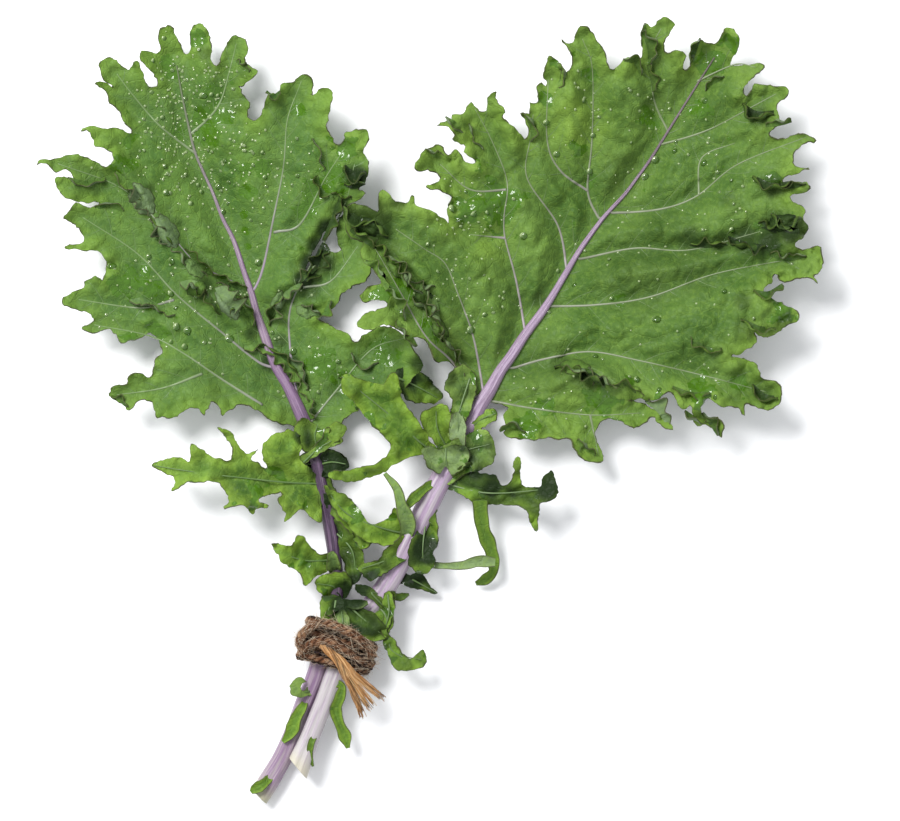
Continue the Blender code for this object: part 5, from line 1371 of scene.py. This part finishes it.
def strip(middle, tone, seed):
    """A narrow leaflet: a band arched across its width and frilled along its edges."""
    stations, lanes = 8 * len(middle), 9
    line = in_space(middle, stations)
    _, across, up = level_frames(line[:, :3])
    lane = np.linspace(-1, 1, lanes)
    half = line[:, 3] * PIXEL
    s = np.linspace(0, 1, stations)
    frill = 0.10 * np.sin(14 * s + seed)[:, None] * np.abs(lane) ** 2 * np.sign(lane)
    arch = (0.32 * (lane ** 2)[None] + frill) * half[:, None]
    wide = half * (0.92 + 0.14 * np.sin(3.1 * np.pi * s * stations / 48 + seed) ** 2 + 0.03 * np.sin(31 * s))
    sheet = (line[:, None, :3] + (wide[:, None] * lane)[..., None] * across[:, None]
             + arch[..., None] * up[:, None])
    quads = grid_quads(stations, lanes, closed=False)
    faces = np.vstack((quads[:, [0, 2, 1]], quads[:, [0, 3, 2]]))
    # Painted shade from the strip's tone and the shade places.
    values = skin_values(
        stations * lanes, edge=np.tile(1 - np.abs(lane), stations), wet=LEAFLET_WET,
        rim=0.7 * np.tile(np.abs(lane) > 0.99, stations), vein=np.tile(np.exp(-np.abs(lane) * 3), stations),
        shade=shaded(sheet[..., :2].reshape(-1, 2), tone[0]))
    points = sheet.reshape(-1, 3)
    points[:, 2] = np.maximum(points[:, 2], LOWEST)
    points, faces, values = thicken(points, faces, LEAFLET_THICKNESS, values)
    values["under"] = np.maximum(values["under"], tone[1])
    return points, faces, values


def leaflets(name, rows, strips, material, veins, seed):
    """All the leaflets of one petiole as one piece, and their ribs as another."""
    shapes, ribs = [], []
    for k, (key, (outline, rib, cup, slope)) in enumerate(rows.items()):
        shape, line = leaflet(outline, rib, cup, slope, TONES.get(key, PLAIN_TONE), seed + 10 * k)
        shapes.append(shape)
        ribs.append(smooth(line, RIB_STATIONS))
    for k, (key, row) in enumerate(strips.items()):
        shapes.append(strip(row, TONES.get(key, PLAIN_TONE), seed + k))
    piece(name, join(shapes), material, sharp=70)
    radii = np.linspace(*LEAFLET_RIB_RADII, RIB_STATIONS)
    piece(name + "_ribs", tubes(ribs, radii, VEIN_SIDES, {"tint": RIB_TINT}), veins)


def curl(leaf, line, width, roll, tone, seed):
    """A flap of the leaf's margin or a fold of its skin, rolled up and frilled.

    It leaves a line over the blade sideways, climbs round an arc that is tighter at its ends, and
    its free edge waves. A width above nought leans left of the line's way, below nought right.
    """
    lanes = 12
    flat = smooth(plan(line), max(24, int(2000 * np.hypot(*np.ptp(plan(line), axis=0)))))
    stations = len(flat)
    ahead = np.gradient(flat, axis=0)
    ahead /= np.linalg.norm(ahead, axis=1)[:, None]
    side = np.column_stack((-ahead[:, 1], ahead[:, 0])) * np.sign(width)
    s = np.linspace(0, 1, stations)[:, None]
    t = np.linspace(0, 1, lanes)[None]
    teeth = max(2.0, run_along(flat)[-1] / TOOTH)
    phase = np.random.default_rng(seed).uniform(0, 6, 4)
    tooth = 2 * np.pi * teeth * s
    swell = 1 + 0.22 * np.sin(tooth + phase[0]) + 0.14 * np.sin(5.3 * teeth * s + phase[1])
    full = abs(width) * (1 + 0.22 * roll) * PIXEL * np.sin(np.pi * (0.06 + 0.88 * s)) ** 0.6 * swell
    bend = roll * (1 + 0.25 * np.sin(0.6 * tooth + phase[2]))
    out = full / bend * np.sin(bend * t)
    rise = full / np.abs(bend) * (1 - np.cos(bend * t))
    rise = rise + 0.12 * full * t ** 2 * np.sin(tooth + phase[3])
    base = blade_height(flat, leaf)[0] + CURL_LIFT
    place = flat[:, None] + out[..., None] * side[:, None]
    points = np.dstack((place, base[:, None] + rise)).reshape(-1, 3)
    points[:, 2] = np.clip(points[:, 2], 0.5 * MM, HIGHEST + 0.6 * MM)
    quads = grid_quads(stations, lanes, closed=False)
    if width > 0:
        quads = quads[:, ::-1]
    faces = np.vstack((quads[:, [0, 1, 2]], quads[:, [0, 2, 3]]))
    border = np.repeat(t >= 1, stations, axis=0) | (s <= 0) | (s >= 1)
    # Painted shade by the tone, a little lighter towards the free edge.
    values = skin_values(
        stations * lanes, edge=np.tile(1 - t[0] ** 2, stations), rim=border.ravel(),
        wet=0.3 if tone > 0.3 else 0.0, shade=np.tile(max(tone, 0.0) * (1 - 0.45 * t[0] ** 3), stations))
    points, faces, values = thicken(points, faces, CURL_THICKNESS, values)
    values["under"] = np.maximum(values["under"] * (tone < 0.5), max(-tone, 0.0))
    return points, faces, values


def pad(leaf, column, row, long, wide, turn, rise, tone, seed):
    """A puffed oval of skin over a fold: a dome on the blade, creased along its middle."""
    rings, sides = 10, 54
    share = np.append(0, np.repeat(np.linspace(1 / rings, 1, rings), sides))
    angle = np.append(0, np.tile(np.arange(sides) * 2 * np.pi / sides, rings))
    frill = 1 + share ** 2 * (0.07 * np.sin(5 * angle + seed) + 0.05 * np.sin(11 * angle + 2 * seed))
    ahead = share * frill * np.cos(angle) * long * PIXEL
    aside = share * frill * np.sin(angle) * wide * PIXEL
    c, s = np.cos(np.radians(turn)), np.sin(np.radians(turn))
    flat = plan([(column, row)])[0] + np.column_stack((c * ahead - s * aside, s * ahead + c * aside))
    height = blade_height(flat, leaf)[0] + 0.5 * MM + rise * MM * (1 - share ** 2)
    height -= 0.6 * MM * np.exp(-(aside / (0.9 * MM)) ** 2) * (1 - share ** 4)
    height += 0.35 * MM * waves(flat, 6 * MM, seed)
    first = 1 + np.arange(sides)
    quads = 1 + grid_quads(rings, sides)
    faces = np.vstack((np.column_stack((np.zeros(sides, int), first, np.roll(first, -1))),
                       quads[:, [0, 3, 2]], quads[:, [0, 2, 1]]))
    # Painted shade by the tone, and more at the rim where the pad meets the blade.
    values = skin_values(len(flat), edge=0.4 + 0.6 * share, rim=share > 0.99,
                         vein=np.exp(-np.abs(aside) / (0.8 * MM)), shade=max(tone, 0.0) + 0.35 * share ** 6)
    points, faces, values = thicken(np.column_stack((flat, height)), faces, CURL_THICKNESS, values)
    values["under"] = np.maximum(values["under"], max(-tone, 0.0))
    return points, faces, values


def winding_point(turn, share):
    """A point of the winding: a rounded box round both stems that moves along them."""
    side = np.sign(np.cos(turn)) * np.abs(np.cos(turn)) ** TIE_ROUNDING * TIE_HALF_WIDTH
    tall = np.sign(np.sin(turn)) * np.abs(np.sin(turn)) ** TIE_ROUNDING * TIE_HALF_HEIGHT
    across = np.array((-ALONG_TIE[1], ALONG_TIE[0]))
    flat = plan([TIE_CENTRE])[0] + ALONG_TIE * (share - 0.5) * TIE_LENGTH + across * side
    return flat[0], flat[1], TIE_CENTRE_HEIGHT + tall


def twisted(line, radius, pitch, seed, beside=0.0):
    """Three plies twisted about a line, each ply a tube that swells and thins a little.

    The value "deep" is painted shade, 1 in the creases: near the line, by so much on the sides that
    face along the stems, where the next turn lies, and in the knot's dark middle. It grows to the
    right, away from the lamp. The value "tone" is a painted highlight on the outer side of the plies.
    """
    _, across, up = frames(line)
    along = run_along(line)
    rng = np.random.default_rng(seed)
    lines, radii = [], []
    for k in range(3):
        phase = 2 * np.pi * (along / pitch + k / 3)
        offset = 0.5 * radius * (np.cos(phase)[:, None] * across + np.sin(phase)[:, None] * up)
        lines.append(line + offset)
        swell = 1 + 0.10 * np.sin(along / (3.1 * MM) + rng.uniform(0, 6)) + 0.07 * np.sin(along / (1.1 * MM))
        radii.append(0.50 * radius * swell)
    verts, faces, values = tubes(lines, radii, PLY_SIDES)
    turn = np.tile(np.arange(PLY_SIDES) * 2 * np.pi / PLY_SIDES, 3 * len(line))
    run = np.tile(np.repeat(along, PLY_SIDES), 3)
    twist = turn + run / (1.6 * MM)
    values["strand"] = np.column_stack((2.2 * np.cos(twist), 2.2 * np.sin(twist), run / (6 * MM)))
    off = verts - np.tile(np.repeat(line, PLY_SIDES, axis=0), (3, 1))
    out = np.linalg.norm(off, axis=1) / radius
    from_hole = verts[:, :2] - plan([KNOT_HOLE])[0]
    hole = np.linalg.norm(from_hole, axis=1) / (6 * PIXEL)
    below = verts[:, 2] < KNOT_HOLE_TOP
    aside = np.abs(off[:, :2] @ ALONG_TIE)
    # Painted shade: the creases, the sides where the next turn lies, the knot's middle, and more on the side
    # away from the lamp.
    crease = np.maximum(2.7 - 2.75 * out, beside * (aside / radius - 0.28) / 0.35)
    lee_shade = np.clip(from_hole @ (0.8, -0.4) / (14 * MM), 0, 1)
    crease = crease * (1 + 0.5 * lee_shade) + 0.3 * lee_shade
    values["deep"] = np.clip(np.maximum(crease, below * 1.4 * np.exp(-hole ** 2)), 0, 1)
    # Painted highlight on the outer side of each ply.
    crown_highlight = np.clip((out - 0.84) / 0.16, 0, 1) * (0.5 + 0.5 * waves(verts[:, :2], 5 * MM, seed))
    values["tone"] = np.clip(0.6 * crown_highlight, 0, 1)
    return verts, faces, values


def fuzz(line, radius, count, upright, long, thick, seed):
    """Loose hairs: short bent tubes that leave the twine's skin and lean along it."""
    stations, sides = 6, 3
    rng = np.random.default_rng(seed)
    ahead, across, up = frames(line)
    at = rng.integers(2, len(line) - 2, count)
    turn = rng.uniform(0, 2 * np.pi, count)
    out = np.cos(turn)[:, None] * across[at] + np.sin(turn)[:, None] * up[at]
    lean = ahead[at] * rng.choice((-1, 1), count)[:, None]
    swing = np.cross(out, lean)
    length = long * (0.35 + rng.gamma(2.2, 0.35, count))
    t = np.linspace(0, 1, stations)[None, :, None]
    rise = (upright * rng.uniform(0.3, 1, count))[:, None, None]
    bend = rng.normal(0, 0.5, count)[:, None, None]
    start = (line[at] + out * radius * 0.93)[:, None]
    straight = t * (lean[:, None] * (1 - 0.4 * rise) + rise * out[:, None])
    hair = start + length[:, None, None] * (straight + bend * t ** 2 * swing[:, None])
    hair[..., 2] = np.maximum(hair[..., 2], 0.15 * MM)
    verts, faces, values = tubes(hair, np.linspace(1, 0.4, stations) * thick, sides)
    values["tone"] = np.repeat(rng.uniform(0, 1, count), stations * sides)
    values["strand"] = np.repeat(rng.uniform(0, 50, (count, 3)), stations * sides, axis=0)
    return verts, faces, values


def frayed_end(material, seed):
    """The twine's cut end: untwisted fibres that leave the knot together and fan out in locks.

    Each fibre turns about the middle line, moves to its lock's side by a power of its length, and
    is a little longer or shorter than the rest.
    """
    rng = np.random.default_rng(seed)
    count, stations, sides = 150, 16, 5
    t = np.linspace(0, 1, stations)
    middle = in_space(FRAY_MIDDLE, stations)
    cluster = rng.choice(FRAY_LOCKS, count) + rng.normal(0, 0.05, count)
    phase = rng.uniform(0, 2 * np.pi, (count, 1)) + 9 * np.minimum(t, 0.6)[None]
    thick = 1.7 * MM * np.sqrt(rng.uniform(0, 1, (count, 1))) * (1 - 0.62 * t)[None]
    span = plan(FRAY_SPAN)
    fan = span[1] - span[0]
    wide = thick * np.cos(phase)
    spread = cluster[:, None] * (t ** 1.9)[None]
    lines = np.repeat(middle[None], count, axis=0)
    lines[..., 0] += spread * fan[0] + wide * 0.7
    lines[..., 1] += spread * fan[1] * 0.9 + wide * 0.6
    lines[..., 2] += 0.55 * thick * np.sin(phase)
    reach = rng.uniform(0.8, 1.12, count)[:, None]
    tail = lines[:, -1] - lines[:, -4]
    lines[:, -3:] += (reach - 1)[..., None] * tail[:, None] * np.array((0.3, 0.7, 1.2))[None, :, None] * 2
    wave = 0.5 * MM * np.sin(rng.uniform(6, 14, (count, 1)) * t[None] + rng.uniform(0, 6, (count, 1)))
    lines[..., 0] += wave * t[None]
    lines[..., 2] += wave[::-1] * t[None] ** 2
    verts, faces, values = tubes(lines, np.linspace(0.25, 0.13, stations) * MM, sides)
    each = stations * sides
    values["tone"] = np.repeat(rng.uniform(0, 1, count) ** 1.4, each)
    values["deep"] = np.repeat(rng.choice((0.0, 0.25, 0.75), count, p=(0.6, 0.25, 0.15)), each)
    values["strand"] = np.repeat(rng.uniform(0, 50, (count, 3)), each, axis=0)
    return piece("twine_frayed_end", (verts, faces, values), material)


def twine(material, hair_material):
    """The winding, the strand over the knot, the knot's loop, and their loose hairs."""
    shares = np.linspace(0, 1, 240)
    winding = smooth([winding_point(0.5 * np.pi + 2 * np.pi * TIE_TURNS * s, s) for s in shares], 420)
    knot = in_space(KNOT, 70)
    loop = in_space(KNOT_LOOP, 120)
    shape = join([twisted(winding, TWINE_RADIUS, PLY_PITCH, seed=3, beside=0.9),
                  twisted(knot, TWINE_RADIUS, PLY_PITCH, seed=4, beside=0.5),
                  twisted(loop, LOOP_RADIUS, LOOP_PITCH, seed=5)])
    shape[0][:, 2] = np.maximum(shape[0][:, 2], 0)
    piece("twine_winding", shape, material, "twine_tie")
    hairs = [fuzz(line, radius, count, *kind, seed) for line, radius, count, kind, seed in (
        (winding, TWINE_RADIUS, 650, WILD_HAIR, 11), (knot, TWINE_RADIUS, 180, WILD_HAIR, 12),
        (winding, TWINE_RADIUS, 700, FLAT_HAIR, 13), (knot, TWINE_RADIUS, 300, FLAT_HAIR, 14),
        (loop, LOOP_RADIUS, 500, FLAT_HAIR, 15), (loop, LOOP_RADIUS, 160, WILD_HAIR, 16))]
    piece("twine_hairs", join(hairs), hair_material)


def skin_frame(points, leaf):
    """Height and unit normal of a blade at plan points, by three heights a short step apart."""
    step = 0.35 * MM
    moved = np.vstack((points, points + (step, 0), points + (0, step)))
    height, right, up = blade_height(moved, leaf)[0].reshape(3, -1)
    normal = np.column_stack((height - right, height - up, np.full(len(points), step)))
    return height, normal / np.linalg.norm(normal, axis=1)[:, None]


def drops(name, leaf, places, count, large, material, seed):
    """Water drops: flattened domes, each a half round profile turned about the skin's normal.

    Small ones are strewn round the given places and large ones lie where they are listed. The value
    "small" is painted light: it lights up the tiniest drops in place of their highlights, and on all of
    them the side away from the lamp as a painted caustic.
    """
    rng = np.random.default_rng(seed)
    shares = np.array([row[3] for row in places])
    which = rng.choice(len(places), count * 3, p=shares / shares.sum())
    centres = plan([row[:2] for row in places])[which]
    reach = np.array([row[2] for row in places])[which] * PIXEL
    spots = centres + rng.normal(0, 0.62, (count * 3, 2)) * reach[:, None]
    clear = from_edge(spots, leaf["ring"]) > 1.6 * MM
    spots = spots[inside(spots, leaf["ring"]) & clear][:count]
    size = np.clip(0.46 * MM * np.exp(rng.normal(0, 0.42, len(spots))), 0.22 * MM, 1.1 * MM)
    spots = np.vstack((spots, plan(large)))
    size = np.append(size, rng.uniform(1.1, 1.9, len(large)) * MM)
    count = len(spots)
    height, normal = skin_frame(spots, leaf)
    across = np.cross(normal, (0.0, 1.0, 0.0))
    across /= np.linalg.norm(across, axis=1)[:, None]
    up = np.cross(normal, across)
    rings, sides = 6, 14
    lift = np.linspace(-0.35, np.pi / 2, rings + 1)[:-1]
    turn = np.arange(sides) * 2 * np.pi / sides
    flat_x = np.append((np.cos(lift)[:, None] * np.cos(turn)).ravel(), 0)
    flat_y = np.append((np.cos(lift)[:, None] * np.sin(turn)).ravel(), 0)
    tall = np.append(np.repeat(np.sin(lift), sides), 1) * DROP_FLATNESS
    stretch = rng.uniform(0.85, 1.2, count)[:, None, None]
    base = np.column_stack((spots, height)) + normal * (BLADE_THICKNESS / 2 + 0.05 * MM)
    verts = base[:, None] + size[:, None, None] * (
        flat_x[None, :, None] * across[:, None] * stretch + flat_y[None, :, None] * up[:, None]
        + tall[None, :, None] * normal[:, None])
    each = len(flat_x)
    top = (rings - 1) * sides + np.arange(sides)
    tips = np.column_stack((top, np.roll(top, -1), np.full(sides, each - 1)))
    base_face = np.arange(sides)[::-1][None]
    shift = (np.arange(count) * each)[:, None, None]
    faces = [(part[None] + shift).reshape(-1, part.shape[1])
             for part in (grid_quads(rings, sides), tips, base_face)]
    # Painted light: a caustic on the side away from the lamp, and the tiniest drops lit up as a whole.
    lit = np.clip(0.75 * flat_x - 0.66 * flat_y, 0, 1) ** 2
    small = np.maximum(np.repeat(np.clip(1.25 - size / (0.8 * MM), 0, 1), each), np.tile(1.1 * lit, count))
    return piece(name, (verts.reshape(-1, 3), faces, {"small": small}), material, sharp=60)


def floor_and_light():
    """A pale floor, a soft light from the upper left and an even sky."""
    mesh = bpy.data.meshes.new("floor")
    half = 3.0
    mesh.from_pydata([(-half, -half, 0), (half, -half, 0), (half, half, 0), (-half, half, 0)],
                     [], [(0, 1, 2, 3)])
    floor = bpy.data.objects.new("floor", mesh)
    bpy.context.collection.objects.link(floor)
    paint = Paint("floor_white", 0.7)
    grain = paint.noise(paint.place(), 600.0)
    paint.put(paint.shader["Base Color"], paint.mix(grain, (0.90, 0.90, 0.91), (0.93, 0.93, 0.94)))
    paint.shader["Specular IOR Level"].default_value = 0.1
    mesh.materials.append(paint.material)
    key = bpy.data.lights.new("key", "AREA")
    key.shape = "DISK"
    key.size = 1.0
    key.energy = KEY_POWER
    lamp = bpy.data.objects.new("key", key)
    lamp.location = KEY_PLACE
    lamp.rotation_euler = (-lamp.location).to_track_quat("-Z", "Y").to_euler()
    bpy.context.collection.objects.link(lamp)
    world = bpy.data.worlds.new("sky")
    world.use_nodes = True
    sky = world.node_tree.nodes["Background"].inputs
    sky["Color"].default_value = (0.96, 0.98, 1.0, 1)
    sky["Strength"].default_value = SKY_STRENGTH
    bpy.context.scene.world = world
    bpy.context.scene.view_settings.view_transform = "Standard"


def camera():
    """Straight above the picture's centre, with a long lens."""
    eye = bpy.data.cameras.new("camera")
    eye.sensor_width = 36
    eye.lens = eye.sensor_width * CAMERA_HEIGHT / VIEW_WIDTH
    eye.clip_end = 20
    thing = bpy.data.objects.new("camera", eye)
    centre = plan([PICTURE_CENTRE])[0]
    thing.location = (centre[0], centre[1], CAMERA_HEIGHT + VIEW_PLANE)
    bpy.context.collection.objects.link(thing)
    bpy.context.scene.camera = thing


camera()
floor_and_light()

left = describe_leaf(LEFT_OUTLINE, LEFT_STEM, LEFT_VEINS, LEFT_CUP, LEFT_LIFTS, LEFT_FOLDS,
                     relief=0.80 * MM, seed=21)
right = describe_leaf(RIGHT_OUTLINE, RIGHT_STEM, RIGHT_VEINS, RIGHT_CUP, RIGHT_LIFTS, RIGHT_FOLDS,
                      relief=1.65 * MM, seed=42)

skin_left = leaf_material("leaf_skin", (0.093, 0.178, 0.034), (0.146, 0.250, 0.032),
                          (0.047, 0.110, 0.020), (0.078, 0.148, 0.040), (0.150, 0.200, 0.120))
skin_right = leaf_material("leaf_skin_deep", (0.102, 0.184, 0.035), (0.172, 0.280, 0.040),
                           (0.047, 0.104, 0.017), (0.074, 0.143, 0.030), (0.135, 0.185, 0.100))
skin_leaflet = leaf_material("leaflet_skin", (0.086, 0.180, 0.020), (0.220, 0.345, 0.038),
                             (0.024, 0.068, 0.005), (0.130, 0.235, 0.036), (0.190, 0.255, 0.130))
veins_left = vein_material("veins_left", (0.150, 0.225, 0.085), (0.260, 0.195, 0.270))
veins_right = vein_material("veins_right", (0.145, 0.190, 0.088), (0.285, 0.235, 0.268))

blade("leaf_left_skin", left, LEFT_WET, LEFT_SHADE, LEFT_PALE, skin_left, "leaf_left_blade")
blade("leaf_right_skin", right, RIGHT_WET, RIGHT_SHADE, RIGHT_PALE, skin_right, "leaf_right_blade")
for label, leaf, rows, pads, skin in (("leaf_left_curls", left, LEFT_CURLS, LEFT_PADS, skin_left),
                                     ("leaf_right_curls", right, RIGHT_CURLS, RIGHT_PADS, skin_right)):
    made = [curl(leaf, *row, seed=k) for k, row in enumerate(rows)]
    made += [pad(leaf, *row, seed=k) for k, row in enumerate(pads)]
    piece(label, join(made), skin, sharp=70)
vein_tubes("leaf_left_veins", left, 0.72 * MM, LEFT_TINTS, veins_left)
vein_tubes("leaf_right_veins", right, 0.68 * MM, RIGHT_TINTS, veins_right)

violet = stem_material("petiole_violet", (0.330, 0.275, 0.300), (0.185, 0.108, 0.195),
                       (0.030, 0.010, 0.036), (0.120, 0.165, 0.070), (0.400, 0.410, 0.230))
lilac = stem_material("petiole_lilac", (0.410, 0.380, 0.385), (0.280, 0.195, 0.295),
                      (0.120, 0.070, 0.115), (0.110, 0.110, 0.055), (0.480, 0.450, 0.320))
stem("leaf_left_petiole", LEFT_STEM, CUT_SLANT_LEFT, LEFT_TONES, violet, "petiole_violet",
     "leaf_left_stem", ridge_seed=0.4)
stem("leaf_right_petiole", RIGHT_STEM, CUT_SLANT_RIGHT, RIGHT_TONES, lilac, "petiole_lilac",
     "leaf_right_stem", ridge_seed=1.7)

for label, rows, strips, veins, seed in (
        ("leaf_left_leaflets", {**LEFT_LEAFLETS, **LEFT_SMALL}, LEFT_STRIPS, veins_left, 100),
        ("leaf_right_leaflets", {**RIGHT_LEAFLETS, **RIGHT_SMALL}, RIGHT_STRIPS, veins_right, 300)):
    leaflets(label, rows, strips, skin_leaflet, veins, seed)

# The jute's pale colour is the painted highlight on the plies.
jute = fibre_material("jute", (0.034, 0.012, 0.006), (0.205, 0.086, 0.040), (0.480, 0.310, 0.180))
hair = fibre_material("jute_hair", (0.120, 0.055, 0.026), (0.340, 0.200, 0.115), (0.760, 0.650, 0.490))
ochre = fibre_material("jute_frayed", (0.140, 0.058, 0.018), (0.400, 0.190, 0.064), (0.640, 0.420, 0.210),
                       roughness=0.55)
twine(jute, hair)
frayed_end(ochre, seed=5)

water = water_material()
drops("drops_left", left, LEFT_DROPS, 560, LEFT_LARGE, water, seed=7)
drops("drops_right", right, RIGHT_DROPS, 300, RIGHT_LARGE, water, seed=8)
